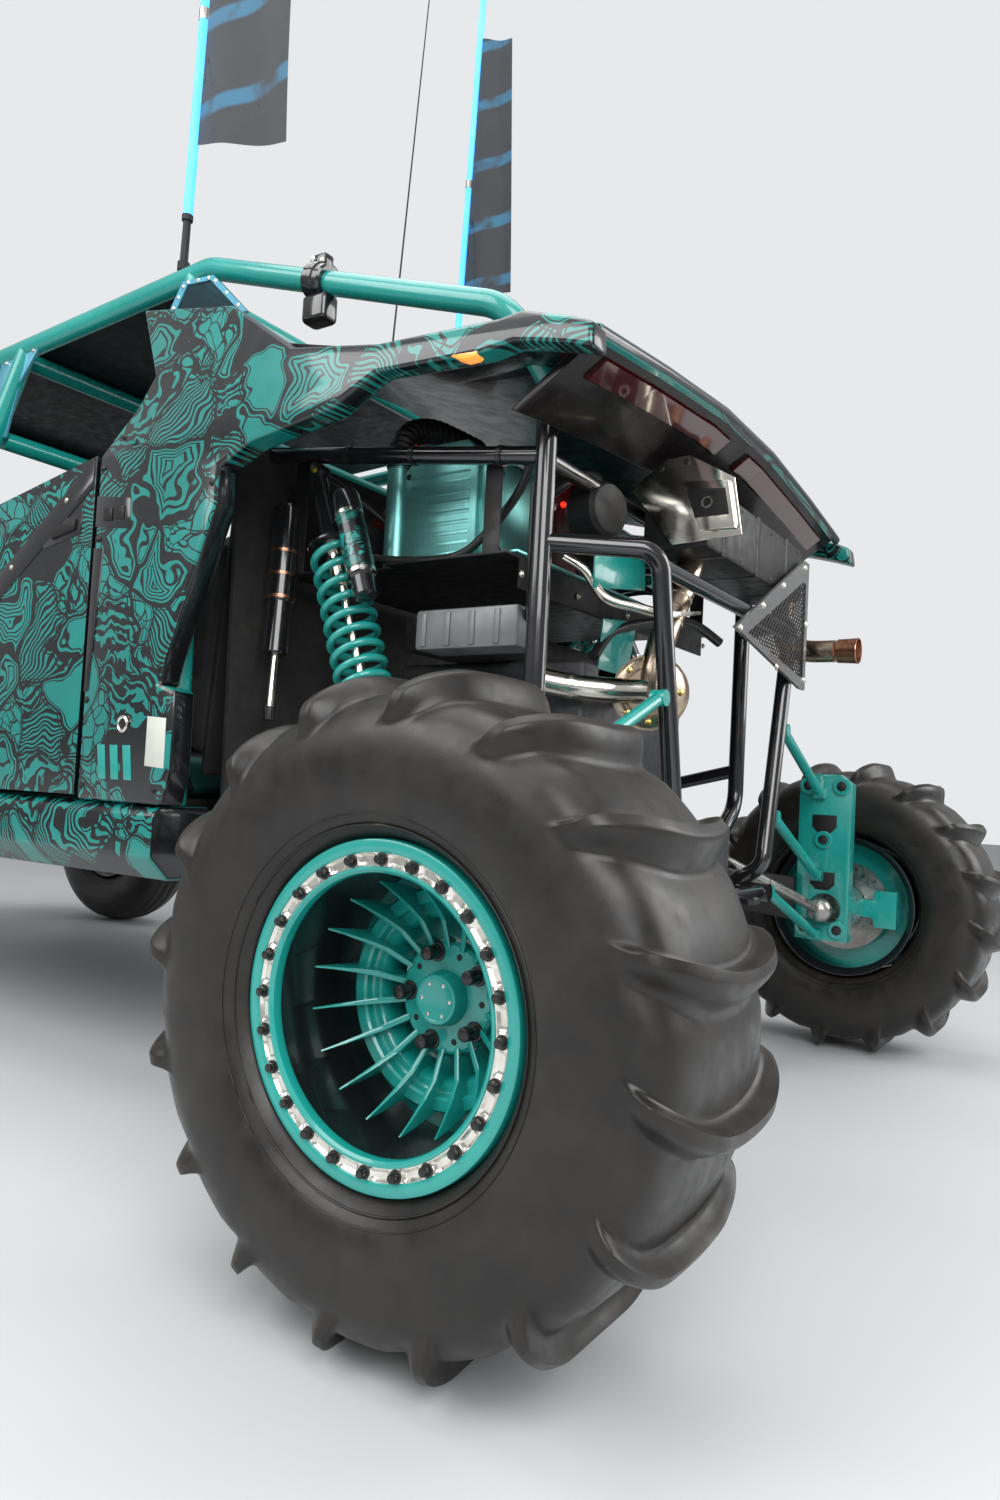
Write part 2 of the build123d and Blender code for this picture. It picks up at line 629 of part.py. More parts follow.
# The lower edge of each quarter window runs forward and up across the rear pillar
pane_rear = (880.0, 1712.0)
pane_front = (1150.0, 1766.0)
pane_slope = (pane_front[1] - pane_rear[1]) / (pane_front[0] - pane_rear[0])
pillar_cross_x = pillar_at(c_top_x, c_waist_x, c_waist_z, pane_front[1])[0]
pillar_cross_z = pane_rear[1] + (pillar_cross_x - pane_rear[0]) * pane_slope
pane_y = pillar_at(c_top_x, c_waist_x, c_waist_z, pillar_cross_z)[1] + pillar_r + 2 * fit_gap
pane = [pane_front, (1105, 1832), (1000, 1822), pane_rear]
with BuildPart() as quarter_windows:
    for side in (1, -1):
        add(side_slab(pane, side, pane_y + 5, 5))
save(quarter_windows.part, "quarter_windows")

# Engine and what shows round it
engine_low = rail_z + rail_r + fit_gap
save(plate([(ahead(250), -frame_half_w), (ahead(760), -frame_half_w), (ahead(760), frame_half_w),
            (ahead(250), frame_half_w)],
           Plane.XY.offset(engine_low), 480), "engine_block")
shelf_z = 1172.0
shelf_t = 6.0
shelf_half = bay_post_y - rail_r + 4 - fit_gap
with BuildPart() as bay_shelf:
    add(side_plate([(290, shelf_z), (900, shelf_z), (900, shelf_z + shelf_t), (290, shelf_z + shelf_t)],
                   -shelf_half, 2 * shelf_half))
    add(side_plate([(290, shelf_z - 60), (296, shelf_z - 60), (296, shelf_z + 1), (290, shelf_z + 1)], -470, 940))
    add(side_plate([(440, engine_low + 480 + fit_gap), (600, engine_low + 480 + fit_gap), (600, 1070), (440, 1070)],
                   -200, 640))
    for side in (1, -1):
        add(side_slab([(600, shelf_z - 1), (790, shelf_z - 1), (790, shelf_z + 10), (600, shelf_z + 10)], side,
                      shelf_half + 1, 35), mode=Mode.SUBTRACT)
        for tab_x in (310, 840):
            tab_z = brace_height(tab_x) + 28
            add(side_slab([(tab_x, shelf_z), (tab_x + 40, shelf_z), (tab_x + 40, tab_z), (tab_x, tab_z)], side,
                          shelf_half, 4))
save(bay_shelf.part, "bay_shelf")
box_z = shelf_z + shelf_t + fit_gap
with BuildPart() as cooler_box:
    add(side_plate([(420, box_z), (620, box_z), (620, 1400), (560, 1450), (450, 1450), (420, 1420)], 230, 220))
    add(side_plate([(375, box_z), (421, box_z), (421, 1430), (375, 1400)], 240, 200))
save(cooler_box.part, "cooler_box")
intake_r = 30.0
with BuildPart() as intake_tube:
    add(tube([spot(620 + intake_r + fit_gap, 430, box_z), spot(620 + intake_r + fit_gap, 430, 1500),
              spot(640, 150, 1540)], intake_r, 90))
save(intake_tube.part, "intake_tube")

# Exhaust with its flange, muffler and tip, and the bright shield beside it
muffler_x = 10.0
muffler_end = 196.0
pipe_r = 30.0
with BuildPart() as exhaust:
    add(tube([spot(250 - fit_gap, 120, 940), spot(150, 120, 940), spot(110, 240, 930), spot(105, 180, 1060),
              spot(95, 60, 1260)], pipe_r, 35))
    add(drum(spot(118, 216, 932), Vector(-0.32, 0.95, 0), 62, 14))
    add(cross_plate([(-430, 1235), (muffler_end, 1235), (muffler_end, 1375), (-430, 1375), (-460, 1350),
                     (-460, 1260)], muffler_x, 150))
    add(tube([spot(85, -440, 1305), spot(85, -530, 1305), spot(85, -530, 1135), spot(-120, -530, 1120)], pipe_r, 45))
save(exhaust.part, "exhaust")
with BuildPart() as heat_shield:
    shield_y = muffler_end + fit_gap
    add(side_plate([(186, 1372), (160, 1396), (110, 1430), (56, 1433), (-45, 1372), (-65, 1252), (87, 1244)], shield_y, 4))
    add(side_plate([(62, 1372), (-40, 1362), (-58, 1262), (16, 1262)], shield_y + 3, 22))
save(heat_shield.part, "heat_shield")

# Rear guard: a plate bolted to the tail loop, cut away round a triangular screen
guard_t = 8.0
guard_x = tail_x - rail_r + 3 - guard_t - fit_gap
screen = [(0, 1090), (-400, 1285), (-420, 1285), (-420, 1055), (-400, 1055)]
with BuildPart() as rear_guard:
    add(cross_plate([(60, 1090), (-410, 1340), (-450, 1340), (-450, 1010), (-410, 1010)], guard_x, guard_t))
    add(cross_plate(screen, guard_x, guard_t), mode=Mode.SUBTRACT)
    add(cross_plate([(y * 1.01 + 1, z * 1.001) for y, z in screen], guard_x + 3, 2))
save(rear_guard.part, "rear_guard")

# Rear suspension, fixed at ride height
carrier_y = 735.0
carrier_t = 40.0
arm_front = spot(arm_pivot_x, 470, rail_z + 30)
arm_rear = spot(60, carrier_y + 15, rear_hub_z + 20)
arm_dir = arm_rear - arm_front
with BuildPart() as trailing_arms:
    for side in (1, -1):
        run = flip(arm_dir, side)
        for end, depth, width in ((arm_front, 70, 50), (arm_rear, 120, 60)):
            with BuildSketch(Plane(origin=flip(end, side), x_dir=(0, 0, 1), z_dir=run)):
                Rectangle(depth, width)
        loft()
        add(drum(spot(arm_pivot_x, side * 430, arm_front.Z), Vector(0, side, 0), 40, 80))
    split(bisect_by=Plane.YZ.offset(ahead(80 + fit_gap)), keep=Keep.TOP)
save(trailing_arms.part, "trailing_arms")

disc_y = rear_rim_y + rear_rim_w / 2 - rear_dish - disc_back - disc_t / 2
slot_half = disc_t / 2 + run_gap
with BuildPart() as rear_knuckles:
    for side in (1, -1):
        hub = Vector(rear_x, side * (carrier_y + 5), rear_hub_z)
        add(drum(hub, Vector(0, side, 0), 64, disc_y - slot_half - carrier_y - 5))
        add(side_slab([(-65, 340), (-65, 780), (-30, 805), (45, 805), (80, 780), (80, 340)], side,
                      carrier_y + carrier_t, carrier_t))
        add(side_slab([(-155, 372), (-155, 478), (-95, 478), (-90, 450), (-90, 400), (-95, 372)], side,
                      disc_y + 30, 60))
        add(side_slab([(-100, 400), (-100, 450), (-40, 450), (-40, 400)], side, disc_y - slot_half, 20))
        with BuildSketch(Plane(origin=(rear_x, side * (disc_y - slot_half), rear_hub_z), z_dir=(0, side, 0))):
            Circle(disc_r + run_gap)
        extrude(amount=2 * slot_half, mode=Mode.SUBTRACT)
        add(drum(Vector(rear_x, side * 700, rear_hub_z), Vector(0, side, 0), bearing_r, 300), mode=Mode.SUBTRACT)
save(rear_knuckles.part, "rear_knuckles")

rod_end_r = 16.0
tail_lean = (tail_y - frame_half_w) / (tail_top_z - tail_foot_z)
# Inner height, inner Y of the frame tube's face, outer height
rod_rows = (
    (rail_z, frame_half_w + rail_r, 356),
    (680, frame_half_w + (680 - tail_foot_z) * tail_lean + rail_r - 2, 520),
    (900, frame_half_w + (900 - tail_foot_z) * tail_lean + rail_r - 2, 750),
)
with BuildPart() as radius_rods:
    for side in (1, -1):
        for inner_z, face_y, outer_z in rod_rows:
            inner = spot(tail_x, side * (face_y + rod_end_r + fit_gap), inner_z)
            outer = spot(tail_x, side * (carrier_y - rod_end_r - fit_gap), outer_z)
            add(tube([inner, outer], rod_end_r - 3))
            for end in (inner, outer):
                add(drum(end - Vector(15, 0, 0), Vector(1, 0, 0), rod_end_r, 30))
save(radius_rods.part, "radius_rods")

# Front suspension: wishbones that carry the steered knuckles
lower_ball = spot(wheelbase, kingpin_y, front_hub_z - kingpin_half - 31)
upper_ball = spot(wheelbase, kingpin_y, front_hub_z + kingpin_half + 18)
bush_r = 20.0
# Inner distances ahead of the front axle, inner height, frame tube radius, outer ball, tube radius, ball half height
wishbones = (
    ((180, -180), rail_z, rail_r, lower_ball, 17.0, 30.7),
    ((200, -150), wishbone_z, rail_r - 4 + wishbone_out, upper_ball, 15.0, 17.7),
)
with BuildPart() as front_arms:
    for side in (1, -1):
        for reaches, inner_z, frame_r, ball, arm_r, ball_half in wishbones:
            for reach in reaches:
                inner = spot(wheelbase + reach, side * (frame_half_w + frame_r + bush_r + fit_gap), inner_z)
                add(tube([inner, flip(ball, side)], arm_r))
                add(drum(inner - Vector(25, 0, 0), Vector(1, 0, 0), bush_r, 50))
            add(drum(flip(ball, side) - Vector(0, 0, ball_half), Vector(0, 0, 1), 22, 2 * ball_half))
save(front_arms.part, "front_arms")

front_carrier_end = front_rim_y + front_rim_w / 2 - front_dish - disc_back - disc_t - run_gap
for hand, side in sides:
    arm_y = side * kingpin_y
    with BuildPart() as knuckle:
        add(drum(spot(wheelbase, side * (kingpin_y - 25), front_hub_z), Vector(0, side, 0), 60,
                 front_carrier_end - kingpin_y + 25))
        add(drum(spot(wheelbase, side * kingpin_y, front_hub_z - kingpin_half), Vector(0, 0, 1), 24,
                 2 * kingpin_half))
        add(plate([(front_x - steer_arm_x - 14, arm_y - 14), (front_x - steer_arm_x - 14, arm_y + 14),
                   (front_x, arm_y + 16), (front_x, arm_y - 16)], Plane.XY.offset(steer_z - 20), 20))
        add(drum(Vector(front_x - steer_arm_x, arm_y, steer_z), Vector(0, 0, 1), 8, pin_h))
        add(drum(spot(wheelbase, side * (kingpin_y - 60), front_hub_z), Vector(0, side, 0), bearing_r, 160),
            mode=Mode.SUBTRACT)
    save(knuckle.part, f"knuckle_front_{hand}")

rod_half = kingpin_y
with BuildPart() as tie_rods:
    add(tube([spot(rack_x, -rod_half, rod_z), spot(rack_x, rod_half, rod_z)], rod_r))
    for side in (1, -1):
        add(drum(spot(rack_x, side * rod_half, rod_z - rod_r - 1), Vector(0, 0, 1), 17, 2 * rod_r + 2))
save(tie_rods.part, "tie_rods")

with BuildPart() as steering_column:
    add(tube(column_run, column_r, 30))
    add(drum(spot(rack_x, -180, rod_z), Vector(0, 1, 0), 28, 360))
    add(drum(spot(rack_x, -200, rod_z), Vector(0, 1, 0), rod_r + fit_gap, 420), mode=Mode.SUBTRACT)
    for y in (-120, 120):
        foot_low = rail_z + bar_r + fit_gap
        add(plate([(ahead(rack_x) - 18, y - 20), (ahead(rack_x) + 18, y - 20), (ahead(rack_x) + 18, y + 20),
                   (ahead(rack_x) - 18, y + 20)], Plane.XY.offset(foot_low), rod_z - rod_r - 4 - foot_low))
save(steering_column.part, "steering_column")

wheel_r = 165.0
with BuildPart() as steering_wheel:
    across = column_dir.cross(Vector(0, 1, 0))
    with BuildSketch(Plane(origin=wheel_hub + Vector(0, wheel_r, 0), x_dir=(0, 1, 0), z_dir=across)):
        Circle(14)
    revolve(axis=Axis(wheel_hub, column_dir))
    with BuildSketch(Plane(origin=wheel_hub - column_dir * 4, x_dir=(0, 1, 0), z_dir=column_dir)):
        Circle(34)
        Rectangle(2 * wheel_r, 26)
        with Locations((0, wheel_r / 2)):
            Rectangle(26, wheel_r)
    extrude(amount=8)
    add(drum(wheel_hub, column_dir, 20, 62 - fit_gap))
save(steering_wheel.part, "steering_wheel")

# Coil-over shocks: foot, head, damper radius, spring radius
shock_foot_x = 430.0
shock_head_x = 790.0
arm_share = (arm_pivot_x - shock_foot_x) / (arm_pivot_x - 60)
arm_top = arm_front.Z + arm_share * arm_dir.Z + 35 + arm_share * 25
eye_r = 18.0
seat_t = 12.0
shock_rows = (
    (spot(shock_foot_x, 470 + arm_share * arm_dir.Y, arm_top + eye_r + 2.2 * fit_gap),
     spot(shock_head_x, bay_post_y, brace_height(shock_head_x) - brace_r - eye_r - 2 * fit_gap), 26.0, 60.0, 0.27, 0.78),
    (spot(wheelbase + 57, 600, lower_ball.Z + 125.7), spot(wheelbase + 57, frame_half_w + rail_r + eye_r - 1, 860),
     18.0, 37.0, 0.16, 0.72),
)
# Oil reservoir beside each rear shock: offset, radius, and both ends as shares of the shock's length
reservoir_off = Vector(-84, 50, 41)
reservoir_r = 30.0
reservoir_low = 0.58
reservoir_top = 0.85


def coil(foot, axis, inner, outer, turns):
    """Stack of coil rounds between two seats along a damper."""
    pitch = axis.length / turns
    outline = [(inner, 0.0)]
    for turn in range(turns):
        outline += [(outer - 14.0, turn * pitch), (outer, (turn + 0.5) * pitch)]
    outline += [(outer - 14.0, axis.length), (inner, axis.length)]
    across = axis.cross(Vector(1, 0, 0)).normalized()
    return ring(outline, Plane(origin=foot, x_dir=across, z_dir=across.cross(axis)), Axis(foot, axis))


with BuildPart() as shocks:
    for foot, head, damper_r, spring_r, seat_low, seat_top in shock_rows:
        for side in (1, -1):
            low = flip(foot, side)
            run = flip(head, side) - low
            add(tube([low, low + run], damper_r * 0.6))
            add(tube([low + run * 0.1, low + run * 0.93], damper_r))
            add(drum(low + run * seat_low, run, spring_r, seat_t))
            add(drum(low + run * seat_top, run, spring_r, seat_t))
            for eye in (low, low + run):
                add(drum(eye - Vector(0, 18, 0), Vector(0, 1, 0), eye_r, 36))
    foot, head = shock_rows[0][:2]
    for side in (1, -1):
        low = flip(foot, side)
        run = flip(head, side) - low
        off = flip(reservoir_off, side)
        add(drum(low + off + run * reservoir_low, run, reservoir_r, run.length * (reservoir_top - reservoir_low)))
        neck = low + run * (reservoir_top - 0.025)
        add(tube([neck, neck + off], 11.0))
save(shocks.part, "shocks")
with BuildPart() as springs:
    for foot, head, damper_r, spring_r, seat_low, seat_top in shock_rows:
        for side in (1, -1):
            low = flip(foot, side)
            run = flip(head, side) - low
            unit = run.normalized()
            start = low + run * seat_low + unit * (seat_t + fit_gap)
            stop = low + run * seat_top - unit * fit_gap
            add(coil(start, stop - start, damper_r + fit_gap, spring_r, 8))
save(springs.part, "springs")

# Final drives and half shafts
rear_drive = (rear_drive_x, 600.0)
front_drive = (wheelbase, 600.0)
drive_half = 120.0
drive_low = rail_z + bar_r + fit_gap
shaft_r = 14.0
with BuildPart() as final_drives:
    for drive_x, drive_z in (rear_drive, front_drive):
        with BuildSketch(Plane.XY.offset(drive_low)):
            with Locations((ahead(drive_x), 0)):
                Rectangle(160, 2 * drive_half)
        extrude(amount=drive_z + 60 - drive_low)
save(final_drives.part, "final_drives")
with BuildPart() as half_shafts:
    for side in (1, -1):
        for (drive_x, drive_z), outer in ((rear_drive, spot(0, 690, rear_hub_z)),
                                          (front_drive, spot(wheelbase, kingpin_y - 8, front_hub_z))):
            run = outer - spot(drive_x, drive_half, drive_z)
            lean = shaft_r * hypot(run.X, run.Z) / run.length
            add(tube([spot(drive_x, side * (drive_half + lean + fit_gap), drive_z), flip(outer, side)], shaft_r))
            with Locations(flip(outer, side)):
                Sphere(34)
save(half_shafts.part, "half_shafts")

# Cab: seats and dash. Outlines are distances ahead of the seat's own datum and heights over the floor
cushion = [(0, 120), (500, 150), (510, 250), (130, 220), (-20, 920), (-130, 900), (-60, 200)]
bolster = [(0, 110), (515, 150), (520, 280), (190, 290), (60, 860), (-20, 925), (-135, 905), (-70, 200)]
with BuildPart() as seats:
    for row_x in (1990, 1120):
        for y in (370, -370):
            add(side_plate([(row_x + u, floor_z + v) for u, v in cushion], y - 160, 320))
            for low_y in (y - 240, y + 150):
                add(side_plate([(row_x + u, floor_z + v) for u, v in bolster], low_y, 90))
            add(plate([(ahead(row_x + 60), y - 180), (ahead(row_x + 430), y - 180), (ahead(row_x + 430), y + 180),
                       (ahead(row_x + 60), y + 180)], Plane.XY.offset(floor_top + fit_gap), 130))
save(seats.part, "seats")
with BuildPart() as dash:
    add(side_plate([(2700, 1020), (2725, 1130), (2960, 1165), (cab_front_x - fit_gap, 1140),
                    (cab_front_x - fit_gap, 1040), (2900, 990), (2760, 985)], -600, 1200))
    add(drum(wheel_hub, column_dir, column_r + fit_gap, 600), mode=Mode.SUBTRACT)
save(dash.part, "dash")

# Nose: hood, wings, front panel, lamps and bumper
hood_rear = [(-430, 1000), (-430, 1120), (-360, 1170), (360, 1170), (430, 1120), (430, 1000)]
hood_front = [(-300, 820), (-300, 890), (-240, 925), (240, 925), (300, 890), (300, 820)]
hood_rear_x = cab_front_x + wall_t + fit_gap
hood_front_x = wheelbase + 354.8


def hood_loft(inset, drop, overrun):
    """Tapering block between the rear and the front section of the hood."""
    with BuildPart() as block:
        for x, section in ((hood_rear_x - overrun, hood_rear), (hood_front_x + overrun, hood_front)):
            low_z = section[0][1]
            with BuildSketch(Plane.YZ.offset(ahead(x))):
                with BuildLine():
                    Polyline(*[(y * (1 - inset / 400), z - (inset if z > low_z else drop)) for y, z in section],
                             close=True)
                make_face()
        loft()
    return block.part


with BuildPart() as hood:
    add(hood_loft(0, 0, 0))
    add(hood_loft(panel_t, 40, 2), mode=Mode.SUBTRACT)
save(hood.part, "hood")

wing_in = 445.0
wing_out = 900.0
wing_x = 3110.0
arch = [(wing_x, 1085), (wheelbase - 170, 1130), (wheelbase + 90, 1112), (wheelbase + 330, 990),
        (wheelbase + 400, 880)]
cowl_side = [(door_front_x + door_shut, rocker_top + fit_gap), (door_front_x + door_shut, 1122), (3020, 1150),
             (3140, 1098), (3120, 1060), (2985, 820), (2930, rocker_top + fit_gap)]
with BuildPart() as front_fenders:
    for side in (1, -1):
        add(side_slab([*arch, *[(x - 4, z - panel_t) for x, z in reversed(arch)]], side, wing_out, wing_out - wing_in))
        add(side_slab([*arch, *[(x - 15, z - 40) for x, z in reversed(arch)]], side, wing_out, 10))
        add(side_slab(cowl_side, side, body_half_w, 26))
save(front_fenders.part, "front_fenders")

fascia_out = [(wheelbase + 315, 625), (wheelbase + 370, 690), (wheelbase + 398, 850), (wheelbase + 362, 930)]
with BuildPart() as front_fascia:
    add(side_plate([*fascia_out, *[(x - 10, z + 2) for x, z in reversed(fascia_out)]], -425, 850))
    with BuildSketch(Plane.YZ.offset(ahead(wheelbase + 220))):
        with Locations(*[(0, 725 + row * 34) for row in range(4)]):
            SlotOverall(400, 20)
    extrude(amount=200, mode=Mode.SUBTRACT)
save(front_fascia.part, "front_fascia")
with BuildPart() as head_lamps:
    for side in (1, -1):
        add(cross_plate([(side * 220, 800), (side * 400, 830), (side * 410, 875), (side * 240, 850)],
                        wheelbase + 398 + fit_gap, 14))
save(head_lamps.part, "head_lamps")
bumper_r = 18.0
bumper_x = wheelbase + nose_reach - bumper_r
bumper_y = 180.0
bumper_butt = nose_end_x + bar_r + fit_gap
with BuildPart() as front_bumper:
    add(tube([spot(bumper_butt, -bumper_y, nose_end_z), spot(bumper_x, -bumper_y, nose_end_z),
              spot(bumper_x, bumper_y, nose_end_z), spot(bumper_butt, bumper_y, nose_end_z)], bumper_r, 60))
    add(tube([spot(bumper_x, -110, nose_end_z), spot(bumper_x, -100, 720), spot(bumper_x, 100, 720),
              spot(bumper_x, 110, nose_end_z)], bumper_r - 2, 40))
save(front_bumper.part, "front_bumper")

# Light whips on the roof rails and a radio whip on a crossbar, all leaning back, and the flags on the light whips
whip_len = 1830.0
whip_r = 13.0
light_lean = 0.025
radio_x = c_top_x + 60
radio_lean = 0.062
# Distance of the foot ahead of the rear axle, side, and the flag's corners: height up the whip, or distance and height
whip_rows = (
    (1168.0, 1, 2195.0, 2700.0, (855.0, 2625.0), (838.0, 2100.0)),
    (1348.0, -1, 2465.0, 3400.0, (1165.0, 3345.0), (1125.0, 2432.0)),
)


def up_whip(foot_x, z):
    """Distance ahead of the rear axle of a light whip's centre at a height."""
    return foot_x - light_lean * (z - rail_height(foot_x))


with BuildPart() as whips:
    for foot_x, side, *flag in whip_rows:
        whip_z = rail_height(foot_x) + cage_r + 4 * fit_gap
        lean = Vector(-light_lean, 0, 1).normalized()
        foot = spot(up_whip(foot_x, whip_z), side * rail_y, whip_z)
        add(drum(foot, lean, 14, 24))
        add(drum(foot + lean * 24, lean, 8, 86))
        add(drum(foot + lean * 110, lean, whip_r, whip_len - 110))
    add(drum(spot(radio_x, -115, rail_height(radio_x) + cage_r + 2 * fit_gap), Vector(-radio_lean, 0, 1), 4, 1300))
save(whips.part, "whips")
with BuildPart() as flags:
    for foot_x, side, hoist_low, hoist_top, fly_top, fly_low in whip_rows:
        hoist = [(up_whip(foot_x, z) - whip_r - 2 * fit_gap, z) for z in (hoist_low, hoist_top)]
        add(side_plate([*hoist, fly_top, fly_low], side * rail_y - 2, 4))
save(flags.part, "flags")
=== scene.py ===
"""Looks of a four-seat sport utility terrain vehicle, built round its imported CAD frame.

Places are millimetres ahead of the rear axle, to the driver's left and up, and become metres in the mesh.
"""

import logging
from dataclasses import dataclass
from enum import Enum
from math import cos, exp, pi, radians, sin
from typing import Callable, Iterable, Sequence

import bmesh
import bpy
from mathutils import Matrix, Vector, geometry


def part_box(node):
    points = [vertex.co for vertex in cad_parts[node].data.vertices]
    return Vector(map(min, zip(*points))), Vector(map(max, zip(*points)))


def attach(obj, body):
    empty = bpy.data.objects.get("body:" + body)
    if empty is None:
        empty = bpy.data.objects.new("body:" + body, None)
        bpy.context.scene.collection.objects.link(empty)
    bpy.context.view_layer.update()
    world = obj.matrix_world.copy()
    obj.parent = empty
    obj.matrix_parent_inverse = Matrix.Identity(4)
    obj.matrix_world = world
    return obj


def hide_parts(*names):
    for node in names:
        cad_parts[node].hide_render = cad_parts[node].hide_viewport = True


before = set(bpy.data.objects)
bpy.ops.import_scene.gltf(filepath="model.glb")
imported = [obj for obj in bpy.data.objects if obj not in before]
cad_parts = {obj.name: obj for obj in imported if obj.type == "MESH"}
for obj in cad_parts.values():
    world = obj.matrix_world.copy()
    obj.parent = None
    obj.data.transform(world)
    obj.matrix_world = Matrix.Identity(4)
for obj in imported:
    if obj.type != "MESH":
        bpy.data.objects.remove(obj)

LOG = logging.getLogger("utv")
MM = 0.001
Point = tuple[float, float, float]
Flat = tuple[float, float]
Block = tuple[tuple[Flat, ...], float, float]
SIDES: tuple[tuple[str, int], ...] = (("left", 1), ("right", -1))


def box_centre(node: str) -> Vector:
    """Middle of a CAD node's box at rest."""
    low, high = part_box(node)
    return (low + high) / 2


REAR_X: float = box_centre("tyre_rear_left").x
FRONT_X: float = box_centre("tyre_front_left").x
WHEELBASE: float = (FRONT_X - REAR_X) / MM
# Half width of the body's sides, and side, height and place of the roof rails' rear corners, in millimetres
BODY_HALF = 800.0
RAIL_Y = 650.0
RAIL_TOP = 1873.0
RAIL_X = 1060.0
# Lean of a light whip to the rear, for each unit of its height
WHIP_LEAN = 0.025
# Points closer than this are the same point, in metres: in a mesh made of parts, and in a fine grid
WELD = 0.00002
EXACT = 0.00001


def at(x: float, y: float, z: float) -> Vector:
    """Point in the row frame from millimetres ahead of the rear axle, left and up."""
    return Vector((REAR_X + x * MM, y * MM, z * MM))


def smooth_line(points: Sequence[Vector], steps: int) -> list[Vector]:
    """Curve through points.

    Args:
        points: Places that the curve passes through.
        steps: Pieces between two neighbouring places.

    Returns:
        Points along the curve, both ends included.
    """
    line: list[Vector] = []
    last = len(points) - 1
    for index in range(last):
        before = points[max(index - 1, 0)]
        start, stop = points[index], points[index + 1]
        after = points[min(index + 2, last)]
        out = start + (stop - before) / 6
        into = stop - (after - start) / 6
        line.extend(geometry.interpolate_bezier(start, out, into, stop, steps + 1)[:-1])
    line.append(points[last].copy())
    return line


def ease(value: float, low: float, high: float) -> float:
    """Smooth rise from 0 at low to 1 at high."""
    share = min(max((value - low) / (high - low), 0.0), 1.0)
    return share * share * (3 - 2 * share)


# Finishes
class Nodes:
    """Short way to add and join the nodes of one material."""

    def __init__(self, name: str) -> None:
        """Starts a material that has only its output and a Principled shader."""
        self.material = bpy.data.materials.new(name)
        self.material.use_nodes = True
        self.tree = self.material.node_tree
        self.shader = self.tree.nodes["Principled BSDF"]
        self.place = self.tree.nodes.new("ShaderNodeTexCoord").outputs["Object"]

    def add(self, kind: str, inputs: dict[str | int, object], **settings: object) -> bpy.types.Node:
        """Adds a node.

        Args:
            kind: Node type without its ShaderNode start.
            inputs: Value or output socket for each named input.
            **settings: Properties of the node itself.

        Returns:
            The node.
        """
        node = self.tree.nodes.new("ShaderNode" + kind)
        for key, value in settings.items():
            setattr(node, key, value)
        for key, value in inputs.items():
            self.put(node.inputs[key], value)
        return node

    def put(self, socket: bpy.types.NodeSocket, value: object) -> None:
        """Links an output to a socket, or sets the socket's value."""
        if isinstance(value, bpy.types.NodeSocket):
            self.tree.links.new(value, socket)
        else:
            socket.default_value = value

    def math(self, operation: str, first: object, second: object = 0.0,
             third: object = 0.0) -> bpy.types.NodeSocket:
        """Result of one Math node."""
        return self.add("Math", {0: first, 1: second, 2: third}, operation=operation).outputs[0]

    def mix(self, share: object, first: object, second: object) -> bpy.types.NodeSocket:
        """Colour between two colours."""
        node = self.add("Mix", {0: share, 6: first, 7: second}, data_type="RGBA")
        return node.outputs[2]

    def stretch(self, scale: Point, turn: Point = (0.0, 0.0, 0.0)) -> bpy.types.NodeSocket:
        """Object coordinates scaled and turned."""
        return self.add("Mapping", {"Vector": self.place, "Scale": scale, "Rotation": turn}).outputs[0]

    def grain(self, scale: float, detail: float = 3.0, place: object = None,
              rough: float = 0.5) -> bpy.types.NodeSocket:
        """Noise value."""
        node = self.add("TexNoise", {"Vector": place or self.place, "Scale": scale, "Detail": detail,
                                     "Roughness": rough})
        return node.outputs["Fac"]

    def span(self, value: object, low: float, high: float, to_low: float = 0.0, to_high: float = 1.0,
             ) -> bpy.types.NodeSocket:
        """Value mapped from one range to another and held inside it."""
        node = self.add("MapRange", {0: value, 1: low, 2: high, 3: to_low, 4: to_high})
        return node.outputs[0]

    def relief(self, height: object, depth: float, strength: float = 1.0) -> None:
        """Adds bump to the shader, on top of what is there."""
        node = self.add("Bump", {"Height": height, "Distance": depth, "Strength": strength})
        old = self.shader.inputs["Normal"]
        if old.is_linked:
            self.put(node.inputs["Normal"], old.links[0].from_socket)
        self.put(old, node.outputs[0])


def rgba(colour: Point) -> tuple[float, float, float, float]:
    """Colour with full alpha."""
    return (*colour, 1.0)


